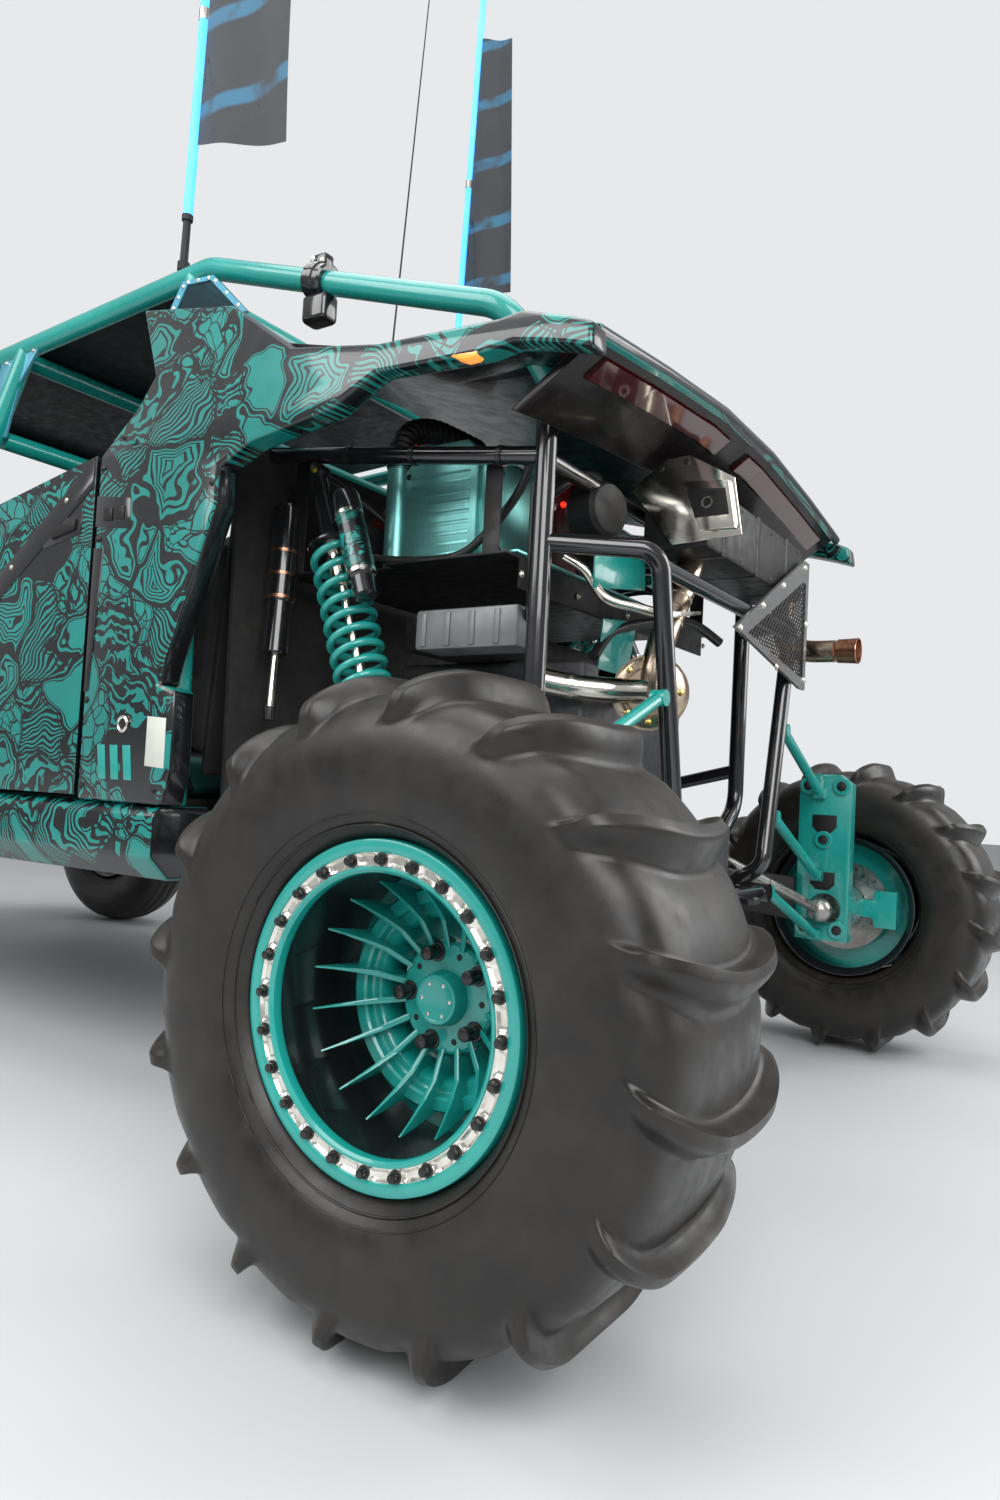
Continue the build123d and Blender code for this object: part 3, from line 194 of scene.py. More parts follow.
@dataclass(frozen=True)
class Finish:
    """Surface with mottled colour, uneven gloss, fine relief and dust where it faces up."""

    name: str
    colour: Point
    shade: Point
    roughness: float = 0.5
    spread: float = 0.12
    metallic: float = 0.0
    coat: float = 0.0
    patch: float = 9.0
    grain: float = 600.0
    relief: float = 0.0
    dust: float = 0.0
    shine: float = 0.5

    def start(self) -> Nodes:
        """Shader with the constants of this finish."""
        nodes = Nodes(self.name)
        shader = nodes.shader.inputs
        shader["Metallic"].default_value = self.metallic
        shader["Coat Weight"].default_value = self.coat
        shader["Coat Roughness"].default_value = 0.06
        shader["Specular IOR Level"].default_value = self.shine
        return nodes

    def colour_of(self, nodes: Nodes) -> bpy.types.NodeSocket:
        """Mottled colour before dust."""
        patches = nodes.span(nodes.grain(self.patch, 4.0), 0.35, 0.65)
        return nodes.mix(patches, rgba(self.colour), rgba(self.shade))

    def build(self) -> bpy.types.Material:
        """Material of this finish."""
        nodes = self.start()
        colour = self.colour_of(nodes)
        rough = nodes.span(nodes.grain(self.patch * 3.1, 5.0), 0.3, 0.7,
                           max(self.roughness - self.spread, 0.03), self.roughness + self.spread)
        if self.dust:
            normal = nodes.add("NewGeometry", {}).outputs["Normal"]
            up = nodes.add("SeparateXYZ", {0: normal}).outputs[2]
            fall = nodes.math("MULTIPLY", nodes.span(up, -0.4, 0.9),
                              nodes.span(nodes.grain(23.0, 6.0), 0.35, 0.75))
            share = nodes.math("MULTIPLY", fall, self.dust)
            colour = nodes.mix(share, colour, rgba((0.23, 0.19, 0.14)))
            rough = nodes.math("MAXIMUM", rough, nodes.math("MULTIPLY", share, 0.9))
        nodes.put(nodes.shader.inputs["Base Color"], colour)
        nodes.put(nodes.shader.inputs["Roughness"], rough)
        if self.relief:
            nodes.relief(nodes.grain(self.grain, 3.0), self.relief)
        return nodes.material


@dataclass(frozen=True)
class Brushed(Finish):
    """Metal with fine lines along one axis."""

    along: Point = (1.0, 60.0, 60.0)

    def build(self) -> bpy.types.Material:
        """Material of this finish."""
        nodes = self.start()
        lines = nodes.grain(14.0, 4.0, nodes.stretch(self.along))
        nodes.put(nodes.shader.inputs["Base Color"],
                  nodes.mix(nodes.span(lines, 0.3, 0.7), rgba(self.colour), rgba(self.shade)))
        nodes.put(nodes.shader.inputs["Roughness"],
                  nodes.span(lines, 0.25, 0.75, self.roughness - self.spread, self.roughness + self.spread))
        nodes.relief(lines, 0.00008)
        return nodes.material


@dataclass(frozen=True)
class Wrap(Finish):
    """Printed film of abstract shards, leaves and rings in teal on black."""

    ink: Point = (0.004, 0.005, 0.006)
    size: float = 7.2
    line: float = 0.026

    def build(self) -> bpy.types.Material:
        """Material of this finish."""
        nodes = self.start()
        side = nodes.stretch((1.0, 0.12, 1.0))
        bend = nodes.add("TexNoise", {"Vector": side, "Scale": 5.5, "Detail": 2.0})
        push = nodes.add("VectorMath", {0: bend.outputs["Color"], 1: (0.5, 0.5, 0.5)},
                         operation="SUBTRACT").outputs[0]
        shove = nodes.add("VectorMath", {0: push, 3: 0.24}, operation="SCALE").outputs[0]
        bent = nodes.add("VectorMath", {0: side, 1: shove}, operation="ADD").outputs[0]
        cells = nodes.add("TexVoronoi", {"Vector": bent, "Scale": self.size, "Randomness": 1.0})
        edges = nodes.add("TexVoronoi", {"Vector": bent, "Scale": self.size, "Randomness": 1.0},
                          feature="DISTANCE_TO_EDGE").outputs["Distance"]
        pick = nodes.add("SeparateXYZ", {0: cells.outputs["Color"]})
        kind, turn = pick.outputs[0], pick.outputs[1]
        small = nodes.add("TexVoronoi", {"Vector": bent, "Scale": self.size * 3.4, "Randomness": 1.0},
                          feature="DISTANCE_TO_EDGE").outputs["Distance"]
        shards = nodes.span(small, self.line * 1.6, self.line * 2.1)
        angle = nodes.math("MULTIPLY", turn, 6.0)
        spun = nodes.add("VectorRotate", {"Vector": bent, "Angle": angle}, rotation_type="Y_AXIS").outputs[0]
        bars = nodes.add("TexWave", {"Vector": spun, "Scale": self.size * 3.1, "Distortion": 2.4,
                                     "Detail": 1.0}).outputs["Fac"]
        stripes = nodes.span(bars, 0.50, 0.58)
        rings = nodes.math("FRACT", nodes.math("MULTIPLY", edges, 11.0))
        contour = nodes.span(nodes.math("ABSOLUTE", nodes.math("SUBTRACT", rings, 0.5)), 0.16, 0.22)
        leaf = nodes.add("TexWave", {"Vector": bent, "Scale": self.size * 1.3, "Distortion": 9.0,
                                     "Detail": 2.0, "Detail Scale": 2.2}, wave_type="RINGS").outputs["Fac"]
        leaves = nodes.span(leaf, 0.52, 0.59)
        part = nodes.mix(nodes.math("GREATER_THAN", kind, 0.22), shards, stripes)
        part = nodes.mix(nodes.math("GREATER_THAN", kind, 0.40), part, leaves)
        part = nodes.mix(nodes.math("GREATER_THAN", kind, 0.58), part, contour)
        part = nodes.mix(nodes.math("GREATER_THAN", kind, 0.76), part, rgba((1.0, 1.0, 1.0)))
        part = nodes.mix(nodes.math("GREATER_THAN", kind, 0.86), part, rgba((0.0, 0.0, 0.0)))
        rim = nodes.span(edges, self.line, self.line * 1.35)
        inner = nodes.math("ABSOLUTE", nodes.math("SUBTRACT", edges, self.line * 2.6))
        inner = nodes.span(inner, 0.008, 0.014)
        art = nodes.math("MULTIPLY", nodes.math("MULTIPLY", part, rim), inner)
        facing = nodes.add("SeparateXYZ", {0: nodes.add("TexCoord", {}).outputs["Normal"]}).outputs[0]
        art = nodes.math("MULTIPLY", art, nodes.span(nodes.math("ABSOLUTE", facing), 0.72, 0.88, 1.0, 0.0))
        film = nodes.mix(nodes.span(nodes.grain(6.0, 3.0), 0.35, 0.65), rgba(self.colour), rgba(self.shade))
        nodes.put(nodes.shader.inputs["Base Color"], nodes.mix(art, rgba(self.ink), film))
        nodes.put(nodes.shader.inputs["Roughness"],
                  nodes.span(nodes.grain(30.0, 5.0), 0.3, 0.7, self.roughness, self.roughness + self.spread))
        nodes.relief(nodes.grain(45.0, 2.0), 0.0004, 0.35)
        return nodes.material


@dataclass(frozen=True)
class Glow(Finish):
    """Lit lens that shines in its own colour."""

    light: Point = (1.0, 1.0, 1.0)
    power: float = 3.0
    beads: float = 0.0

    def build(self) -> bpy.types.Material:
        """Material of this finish."""
        nodes = self.start()
        nodes.put(nodes.shader.inputs["Base Color"], self.colour_of(nodes))
        nodes.shader.inputs["Roughness"].default_value = self.roughness
        flow = nodes.grain(35.0, 2.0)
        if self.beads:
            rows = nodes.add("TexWave", {"Vector": nodes.place, "Scale": self.beads, "Distortion": 0.0},
                             bands_direction="Z").outputs["Fac"]
            flow = nodes.math("MULTIPLY", nodes.span(flow, 0.3, 0.7, 0.85, 1.0),
                              nodes.span(rows, 0.0, 1.0, 0.55, 1.0))
        nodes.put(nodes.shader.inputs["Emission Color"], rgba(self.light))
        nodes.put(nodes.shader.inputs["Emission Strength"],
                  nodes.span(flow, 0.0, 1.0, 0.6 * self.power, self.power))
        return nodes.material


@dataclass(frozen=True)
class Glass(Finish):
    """Tinted pane with faint dust."""

    clear: float = 0.9

    def build(self) -> bpy.types.Material:
        """Material of this finish."""
        nodes = self.start()
        nodes.shader.inputs["Transmission Weight"].default_value = self.clear
        nodes.shader.inputs["IOR"].default_value = 1.45
        nodes.put(nodes.shader.inputs["Base Color"], self.colour_of(nodes))
        nodes.put(nodes.shader.inputs["Roughness"],
                  nodes.span(nodes.grain(18.0, 5.0), 0.4, 0.8, self.roughness, self.roughness + self.spread))
        return nodes.material


@dataclass(frozen=True)
class Weave(Finish):
    """Cloth, carbon or mesh seen as crossed threads."""

    threads: float = 260.0

    def build(self) -> bpy.types.Material:
        """Material of this finish."""
        nodes = self.start()
        bands = [nodes.add("TexWave", {"Vector": nodes.place, "Scale": self.threads, "Distortion": 0.4},
                           bands_direction=axis).outputs["Fac"] for axis in ("X", "Z")]
        cross = nodes.math("MULTIPLY", bands[0], bands[1])
        nodes.put(nodes.shader.inputs["Base Color"],
                  nodes.mix(cross, rgba(self.shade), self.colour_of(nodes)))
        nodes.put(nodes.shader.inputs["Roughness"],
                  nodes.span(nodes.grain(20.0, 4.0), 0.3, 0.7, self.roughness - self.spread,
                             self.roughness + self.spread))
        nodes.shader.inputs["Sheen Weight"].default_value = 0.25
        nodes.relief(cross, 0.0004)
        return nodes.material


@dataclass(frozen=True)
class Stripes(Finish):
    """Dark banner cloth with soft blue bars and a fine weave."""

    def build(self) -> bpy.types.Material:
        """Material of this finish."""
        nodes = self.start()
        height = nodes.add("SeparateXYZ", {0: nodes.place}).outputs[2]
        lean = nodes.math("ADD", height, nodes.math("MULTIPLY", nodes.grain(1.4, 1.0), 0.12))
        rows = nodes.math("FRACT", nodes.math("MULTIPLY", lean, 4.6))
        bars = nodes.math("MULTIPLY", nodes.span(rows, 0.62, 0.66), nodes.span(rows, 0.80, 0.84, 1.0, 0.0))
        fade = nodes.math("MULTIPLY", bars, nodes.span(nodes.grain(9.0, 3.0), 0.40, 0.55))
        nodes.put(nodes.shader.inputs["Base Color"],
                  nodes.mix(fade, self.colour_of(nodes), rgba((0.010, 0.115, 0.21))))
        nodes.shader.inputs["Roughness"].default_value = self.roughness
        nodes.shader.inputs["Sheen Weight"].default_value = 0.2
        nodes.relief(nodes.grain(420.0, 2.0), 0.0003)
        return nodes.material


TEAL: Point = (0.010, 0.315, 0.275)
TEAL_DEEP: Point = (0.008, 0.270, 0.238)
BLACK: Point = (0.008, 0.008, 0.009)


class Look(Enum):
    """Every finish on the vehicle."""

    # Name, colour, second colour, then the other fields of Finish in their order
    TEAL_PAINT = Finish("teal_paint", TEAL, TEAL_DEEP, 0.28, 0.07, 0.0, 0.7, 5.0, 900.0, 0.00003)
    BLACK_GLOSS = Finish("black_gloss", BLACK, (0.012, 0.011, 0.013), 0.16, 0.06, 0.0, 0.8, 7.0, 500.0,
                         0.00004)
    BLACK_SATIN = Finish("black_satin", (0.009, 0.009, 0.010), (0.015, 0.014, 0.014), 0.44, 0.12, 0.0, 0.0,
                         11.0, 900.0, 0.0001, 0.05, 0.3)
    TAIL_BLACK = Finish("tail_black", (0.005, 0.004, 0.004), (0.009, 0.006, 0.006), 0.26, 0.08, 0.0, 0.15,
                        6.0, 900.0, 0.00006, 0.0, 0.25)
    PLASTIC = Finish("moulded_plastic", (0.018, 0.018, 0.019), (0.026, 0.025, 0.025), 0.55, 0.1, 0.0, 0.0,
                     14.0, 1400.0, 0.00025, 0.16)
    RUBBER = Finish("tyre_rubber", (0.0095, 0.0085, 0.0080), (0.017, 0.0145, 0.0125), 0.37, 0.11, 0.0, 0.0,
                    10.0, 800.0, 0.00012, 0.10, 0.42)
    HOSE = Finish("hose_rubber", (0.014, 0.014, 0.014), (0.022, 0.021, 0.020), 0.38, 0.1, 0.0, 0.0, 20.0,
                  900.0, 0.0001)
    MACHINED = Finish("machined_alloy", (0.86, 0.83, 0.76), (0.70, 0.67, 0.60), 0.20, 0.08, 1.0, 0.0, 40.0,
                      700.0, 0.00004)
    POLISHED = Brushed("polished_plate", (0.90, 0.86, 0.76), (0.78, 0.74, 0.66), 0.15, 0.06, 1.0)
    ALLOY = Finish("cast_alloy", (0.62, 0.63, 0.65), (0.48, 0.49, 0.50), 0.36, 0.1, 1.0, 0.0, 18.0, 900.0,
                   0.0002)
    STEEL = Finish("plain_steel", (0.42, 0.41, 0.40), (0.30, 0.28, 0.26), 0.33, 0.12, 1.0, 0.0, 25.0, 600.0,
                   0.0001)
    STAINLESS = Finish("heated_stainless", (0.55, 0.46, 0.34), (0.40, 0.30, 0.24), 0.26, 0.1, 1.0, 0.0, 8.0,
                       500.0, 0.00005)
    COPPER = Finish("copper_tip", (0.55, 0.27, 0.16), (0.38, 0.18, 0.12), 0.30, 0.1, 1.0, 0.0, 12.0, 500.0,
                    0.00005)
    GOLD = Finish("gold_bolt", (0.80, 0.60, 0.18), (0.65, 0.45, 0.12), 0.22, 0.06, 1.0, 0.0, 60.0)
    BLACK_BOLT = Finish("black_bolt", (0.012, 0.012, 0.012), (0.030, 0.028, 0.026), 0.30, 0.1, 0.3, 0.2,
                        120.0)
    CAST = Finish("cast_block", (0.055, 0.056, 0.060), (0.085, 0.085, 0.088), 0.52, 0.12, 0.7, 0.0, 16.0,
                  500.0, 0.0006)
    # Brushed aluminium whose teal tint is painted teal underglow
    TEAL_LIT_ALLOY = Brushed("teal_lit_alloy", (0.26, 0.66, 0.62), (0.20, 0.56, 0.53), 0.34, 0.08, 0.75, 0.0,
                     along=(40.0, 40.0, 1.0))
    # Dark red that paints the red lamp light falling on and reflected in the bay's panels
    RED_LIT_PANEL = Finish("red_lit_panel", (0.16, 0.006, 0.010), (0.09, 0.004, 0.007), 0.20, 0.06, 0.0, 0.8)
    WRAP = Wrap("printed_wrap", (0.007, 0.225, 0.198), (0.006, 0.185, 0.163), 0.20, 0.08, 0.0, 0.55)
    SLEEVE = Wrap("shock_sleeve", TEAL, TEAL_DEEP, 0.24, 0.1, 0.0, 0.6, size=42.0, line=0.05)
    GREY_BOX = Finish("grey_housing", (0.12, 0.13, 0.13), (0.17, 0.18, 0.18), 0.42, 0.1, 0.2, 0.0, 12.0)
    FRAME_BLUE = Finish("frame_blue", (0.16, 0.50, 0.66), (0.10, 0.40, 0.56), 0.28, 0.08, 0.4, 0.5)
    SMOKED_RED = Finish("smoked_red", (0.060, 0.003, 0.004), (0.040, 0.002, 0.003), 0.12, 0.04, 0.0, 1.0)
    PANE = Glass("tinted_pane", (0.030, 0.085, 0.105), (0.022, 0.065, 0.085), 0.06, 0.1, clear=0.7)
    LENS = Glass("clear_lens", (0.85, 0.90, 0.92), (0.78, 0.84, 0.86), 0.05, 0.05, clear=0.9)
    LED_TUBE = Glow("lit_tube", (0.10, 0.42, 0.80), (0.06, 0.34, 0.72), 0.25, light=(0.06, 0.36, 1.0),
                    power=1.5, beads=36.0)
    # Glowing lenses that paint glints of red lamp light reflected in the bay; no lamp stands there
    RED_GLINT_GLOW = Glow("painted_red_glint", (0.55, 0.01, 0.01), (0.40, 0.01, 0.01), 0.15, 0.05, 0.0, 0.8,
                    light=(1.0, 0.03, 0.01), power=1.6)
    AMBER_GLOW = Glow("amber_marker", (0.90, 0.25, 0.04), (0.80, 0.18, 0.03), 0.15, 0.05, 0.0, 0.8,
                      light=(1.0, 0.20, 0.03), power=2.2)
    CARBON = Weave("carbon_plate", (0.020, 0.020, 0.021), (0.008, 0.008, 0.009), 0.28, 0.06, 0.0, 0.7,
                   threads=120.0)
    SEAT_COVER = Weave("seat_cover", (0.018, 0.018, 0.019), (0.010, 0.010, 0.011), 0.55, 0.08, threads=330.0)
    SEAT_PANEL = Weave("seat_panel", TEAL, TEAL_DEEP, 0.52, 0.08, threads=330.0)
    BANNER = Stripes("banner_cloth", (0.010, 0.016, 0.022), (0.006, 0.010, 0.014), 0.62, 0.1)
    LIGHT_BAR = Glow("lamp_strip", (0.80, 0.90, 1.0), (0.70, 0.84, 1.0), 0.2, light=(0.80, 0.93, 1.0),
                     power=1.5)
    SCREEN = Finish("dark_screen", (0.004, 0.010, 0.013), (0.006, 0.018, 0.022), 0.08, 0.03, 0.0, 0.9, 3.0)
    WEBBING = Weave("belt_webbing", (0.010, 0.010, 0.011), (0.020, 0.020, 0.021), 0.6, 0.08, threads=520.0)
    STICKER = Finish("blank_sticker", (0.60, 0.62, 0.56), (0.52, 0.54, 0.48), 0.42, 0.08)


_MADE: dict[str, bpy.types.Material] = {}


def material(look: Look) -> bpy.types.Material:
    """Material of a look, made once."""
    if look.name not in _MADE:
        _MADE[look.name] = look.value.build()
    return _MADE[look.name]


# Mesh making
class Shape:
    """One mesh in the making, shaped with bmesh operators in metres in the row frame."""

    def __init__(self) -> None:
        """Starts an empty mesh whose faces take the first look."""
        self.bm = bmesh.new()
        self.layer = self.bm.faces.layers.int.new("look")
        self.looks: list[Look] = []
        self.index = 0

    def paint(self, look: Look) -> "Shape":
        """Faces made from here on take this look."""
        if look not in self.looks:
            self.looks.append(look)
        self.index = self.looks.index(look)
        return self

    def mark(self) -> None:
        """Gives the faces made since the last call the look in use."""
        for face in self.bm.faces:
            if not face[self.layer]:
                face[self.layer] = self.index + 1

    def round_off(self, faces: Iterable[bmesh.types.BMFace], width: float, segments: int = 2) -> None:
        """Bevels every edge of some faces by millimetres."""
        edges = list({edge for face in faces for edge in face.edges})
        bmesh.ops.bevel(self.bm, geom=edges, offset=width * MM, offset_type="OFFSET", segments=segments,
                        profile=0.5, affect="EDGES", material=-1, clamp_overlap=True)

    def block(self, low: Vector, high: Vector, bevel: float = 0.0, segments: int = 2) -> "Shape":
        """Box between two corners, with its edges rounded by millimetres."""
        made = bmesh.ops.create_cube(self.bm, size=1.0)["verts"]
        size = high - low
        bmesh.ops.scale(self.bm, vec=size, verts=made)
        bmesh.ops.translate(self.bm, vec=(low + high) / 2, verts=made)
        if bevel:
            self.round_off({face for vert in made for face in vert.link_faces}, bevel, segments)
        self.mark()
        return self

    def drum(self, start: Vector, stop: Vector, radius: float, end_radius: float | None = None,
             sides: int = 24, bevel: float = 0.0) -> "Shape":
        """Round bar or cone between two points, radii in millimetres."""
        axis = stop - start
        turn = axis.to_track_quat("Z", "Y").to_matrix().to_4x4()
        place = Matrix.Translation((start + stop) / 2) @ turn
        made = bmesh.ops.create_cone(self.bm, cap_ends=True, segments=sides, radius1=radius * MM,
                                     radius2=(radius if end_radius is None else end_radius) * MM,
                                     depth=axis.length, matrix=place)["verts"]
        if bevel:
            caps = {face for vert in made for face in vert.link_faces if len(face.verts) > 4}
            self.round_off(caps, bevel)
        self.mark()
        return self

    def plate(self, outline: Sequence[Vector], depth: Vector, bevel: float = 0.0,
              segments: int = 2) -> "Shape":
        """Plate from an outline of points and the way through its thickness."""
        verts = [self.bm.verts.new(point) for point in outline]
        face = bmesh.ops.contextual_create(self.bm, geom=verts)["faces"][0]
        made = bmesh.ops.extrude_face_region(self.bm, geom=[face])["geom"]
        far = [item for item in made if isinstance(item, bmesh.types.BMVert)]
        bmesh.ops.translate(self.bm, vec=depth, verts=far)
        faces = list({item for vert in verts + far for item in vert.link_faces})
        bmesh.ops.recalc_face_normals(self.bm, faces=faces)
        if bevel:
            self.round_off(faces, bevel, segments)
        self.mark()
        return self

    def lathe(self, section: Sequence[Flat], centre: Vector, axis: Vector, sides: int = 64) -> "Shape":
        """Turned shape.

        Args:
            section: Closed or open line of (distance along the axis, radius) in millimetres.
            centre: Point on the axis from which the distances count.
            axis: Direction of the axis.
            sides: Steps round the axis.

        Returns:
            This shape.
        """
        unit = axis.normalized()
        out = unit.orthogonal().normalized()
        verts = [self.bm.verts.new(centre + unit * (along * MM) + out * (radius * MM))
                 for along, radius in section]
        edges = [self.bm.edges.new(pair) for pair in zip(verts, verts[1:])]
        if section[0] != section[-1] and min(section[0][1], section[-1][1]) > 0.001:
            edges.append(self.bm.edges.new((verts[-1], verts[0])))
        before = set(self.bm.faces)
        bmesh.ops.spin(self.bm, geom=verts + edges, cent=centre, axis=unit, angle=2 * pi, steps=sides,
                       use_merge=True)
        made = [face for face in self.bm.faces if face not in before]
        near = list({vert for face in made for vert in face.verts})
        bmesh.ops.remove_doubles(self.bm, verts=near, dist=WELD)
        made = [face for face in self.bm.faces if face not in before and face.is_valid]
        bmesh.ops.recalc_face_normals(self.bm, faces=made)
        self.mark()
        return self

    def sweep(self, line: Sequence[Vector], radius: float | Callable[[float], float], sides: int = 12,
              closed: bool = False, flat: float = 1.0) -> "Shape":
        """Round bar along a line.

        Args:
            line: Points of the middle line.
            radius: Millimetres, or a function of the share of the way along.
            sides: Corners of the section.
            closed: The line ends where it starts.
            flat: Height of the section over its width.

        Returns:
            This shape.
        """
        count = len(line)
        heading = (line[1] - line[0]).normalized()
        across = heading.orthogonal().normalized()
        loops: list[list[bmesh.types.BMVert]] = []
        for index, point in enumerate(line):
            ahead = line[(index + 1) % count] if closed else line[min(index + 1, count - 1)]
            behind = line[index - 1] if closed else line[max(index - 1, 0)]
            heading = (ahead - behind).normalized()
            across = (across - heading * across.dot(heading)).normalized()
            other = heading.cross(across)
            share = index / (count - 1)
            reach = (radius(share) if callable(radius) else radius) * MM
            place = Matrix((across, other, heading)).transposed().to_4x4()
            place = Matrix.Translation(point) @ place @ Matrix.Scale(flat, 4, (0, 1, 0))
            ring = bmesh.ops.create_circle(self.bm, cap_ends=False, segments=sides, radius=reach,
                                           matrix=place)
            loops.append(ring["verts"])
        pairs = list(zip(loops, loops[1:])) + ([(loops[-1], loops[0])] if closed else [])
        faces: list[bmesh.types.BMFace] = []
        for near, far in pairs:
            for step in range(sides):
                after = (step + 1) % sides
                faces.append(self.bm.faces.new((near[step], near[after], far[after], far[step])))
        if not closed:
            faces.append(self.bm.faces.new(loops[0]))
            faces.append(self.bm.faces.new(loops[-1]))
        bmesh.ops.recalc_face_normals(self.bm, faces=faces)
        self.mark()
        return self

    def sheet(self, columns: int, rows: int, place: Callable[[float, float], Vector],
              weld: bool = False) -> "Shape":
        """Grid bent into shape.

        Args:
            columns: Faces along the first share.
            rows: Faces along the second share.
            place: Point for two shares from 0 to 1.
            weld: The grid's edges meet and are joined.

        Returns:
            This shape.
        """
        made = bmesh.ops.create_grid(self.bm, x_segments=columns, y_segments=rows, size=0.5)["verts"]
        for vert in made:
            vert.co = place(vert.co.x + 0.5, vert.co.y + 0.5)
        if weld:
            bmesh.ops.remove_doubles(self.bm, verts=made, dist=EXACT)
        self.mark()
        return self

    def side_plate(self, outline: Sequence[Flat], low: float, high: float, bevel: float = 0.0) -> "Shape":
        """Plate between two distances from the middle, its outline being places ahead and heights."""
        return self.plate([at(x, low, z) for x, z in outline], Vector((0, (high - low) * MM, 0)), bevel)

    def cross_plate(self, outline: Sequence[Flat], rear: float, front: float, bevel: float = 0.0) -> "Shape":
        """Plate between two places ahead, its outline being distances to the left and heights."""
        return self.plate([at(rear, y, z) for y, z in outline], Vector(((front - rear) * MM, 0, 0)), bevel)

    def frame_plates(self, outer: Sequence[Flat], inner: Sequence[Flat], low: float, high: float,
                     across: bool = False) -> "Shape":
        """Flat frame between two outlines, one plate for each side.

        Args:
            outer: Outer corners, as for side_plate or cross_plate.
            inner: Inner corners.
            low: Place of the first face.
            high: Place of the second face.
            across: The frame stands across the vehicle.

        Returns:
            This shape.
        """
        make = self.cross_plate if across else self.side_plate
        for index in range(len(outer)):
            after = (index + 1) % len(outer)
            make([outer[index], outer[after], inner[after], inner[index]], low, high)
        return self

    def pipe(self, points: Sequence[Point], radius: float | Callable[[float], float], sides: int = 12,
             steps: int = 8) -> "Shape":
        """Bar or hose bent smoothly through places."""
        return self.sweep(smooth_line([at(*point) for point in points], steps), radius, sides)

    def lattice(self, centre: Vector, across: Vector, up: Vector, pitch: float, wire: float, thick: float,
                cuts: Sequence[tuple[Vector, Vector]] = ()) -> "Shape":
        """Perforated sheet with diamond holes.

        Args:
            centre: Middle of the sheet.
            across: Whole width.
            up: Whole height, square to the width.
            pitch: Millimetres from hole to hole.
            wire: Millimetres of metal on each side of a hole.
            thick: Millimetres through the sheet.
            cuts: Places and outward directions of further straight edges.

        Returns:
            This shape.
        """
        unit_a, unit_b = across.normalized(), up.normalized()
        reach = (across.length + up.length) / 1.414
        count = int(reach / (pitch * MM))
        made = bmesh.ops.create_grid(self.bm, x_segments=count, y_segments=count, size=0.5)["verts"]
        for vert in made:
            u, v = (vert.co.x - vert.co.y) * 0.7071 * reach, (vert.co.x + vert.co.y) * 0.7071 * reach
            vert.co = centre + unit_a * u + unit_b * v
        edges = [(centre + across / 2, unit_a), (centre - across / 2, -unit_a), (centre + up / 2, unit_b),
                 (centre - up / 2, -unit_b), *cuts]
        sheet = {face for vert in made for face in vert.link_faces}
        for place, outward in edges:
            geom = list(sheet | {e for f in sheet for e in f.edges} | {v for f in sheet for v in f.verts})
            cut = bmesh.ops.bisect_plane(self.bm, geom=geom, dist=EXACT, plane_co=place, plane_no=outward,
                                         clear_outer=True)["geom"]
            sheet = {item for item in cut if isinstance(item, bmesh.types.BMFace) and item.is_valid}
        rims = bmesh.ops.inset_individual(self.bm, faces=list(sheet), thickness=wire * MM,
                                          use_even_offset=True)["faces"]
        bmesh.ops.delete(self.bm, geom=[face for face in sheet if face.is_valid], context="FACES")
        bmesh.ops.solidify(self.bm, geom=[face for face in rims if face.is_valid], thickness=thick * MM)
        self.mark()
        return self

    def bolt(self, place: Vector, out: Vector, radius: float, height: float, socket: bool = True) -> "Shape":
        """Bolt head with a washer and a round top, standing on a surface."""
        way = out.normalized() * MM
        self.drum(place - way, place + way * 1.5, radius * 1.35, sides=20, bevel=0.4)
        self.drum(place, place + way * height, radius, radius * 0.86, sides=16, bevel=radius * 0.2)
        if socket:
            self.drum(place + way * (height - 0.5), place + way * (height + 0.4), radius * 0.45, sides=6)
        return self

    def from_node(self, node: str) -> "Shape":
        """Adds a merged and simplified copy of a CAD node's mesh."""
        self.bm.from_mesh(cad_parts[node].data)
        self.layer = self.bm.faces.layers.int.get("look") or self.bm.faces.layers.int.new("look")
        bmesh.ops.remove_doubles(self.bm, verts=self.bm.verts[:], dist=WELD)
        bmesh.ops.dissolve_limit(self.bm, angle_limit=radians(1.0), verts=self.bm.verts[:],
                                 edges=self.bm.edges[:], delimit={"NORMAL"})
        self.mark()
        return self

    def soften(self, width: float, segments: int = 3, sharp: float = 25.0) -> "Shape":
        """Bevels the edges that turn by more than some degrees."""
        edges = [edge for edge in self.bm.edges
                 if len(edge.link_faces) == 2 and edge.calc_face_angle(0.0) > radians(sharp)]
        bmesh.ops.bevel(self.bm, geom=edges, offset=width * MM, offset_type="OFFSET", segments=segments,
                        profile=0.5, affect="EDGES", material=-1, clamp_overlap=True, loop_slide=True)
        self.mark()
        return self

    def finish(self, name: str, body: str, slot: str, replaces: Sequence[str] = (), angle: float = 32.0,
               ) -> bpy.types.Object:
        """Makes the object.

        Args:
            name: Name of the piece.
            body: CAD body that it rides on.
            slot: Material slot of the record; not used.
            replaces: CAD nodes that it stands for.
            angle: Degrees above which an edge stays sharp.

        Returns:
            The object.
        """
        for face in self.bm.faces:
            face.material_index = face[self.layer] - 1
        self.bm.faces.layers.int.remove(self.layer)
        mesh = bpy.data.meshes.new(name)
        self.bm.to_mesh(mesh)
        self.bm.free()
        for look in self.looks:
            mesh.materials.append(material(look))
        piece = bpy.data.objects.new(name, mesh)
        bpy.context.scene.collection.objects.link(piece)
        mesh.shade_smooth()
        mesh.set_sharp_from_angle(angle=radians(angle))
        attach(piece, body)
        if replaces:
            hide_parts(*replaces)
        LOG.info("%s: %d faces on %s", name, len(mesh.polygons), body)
        return piece


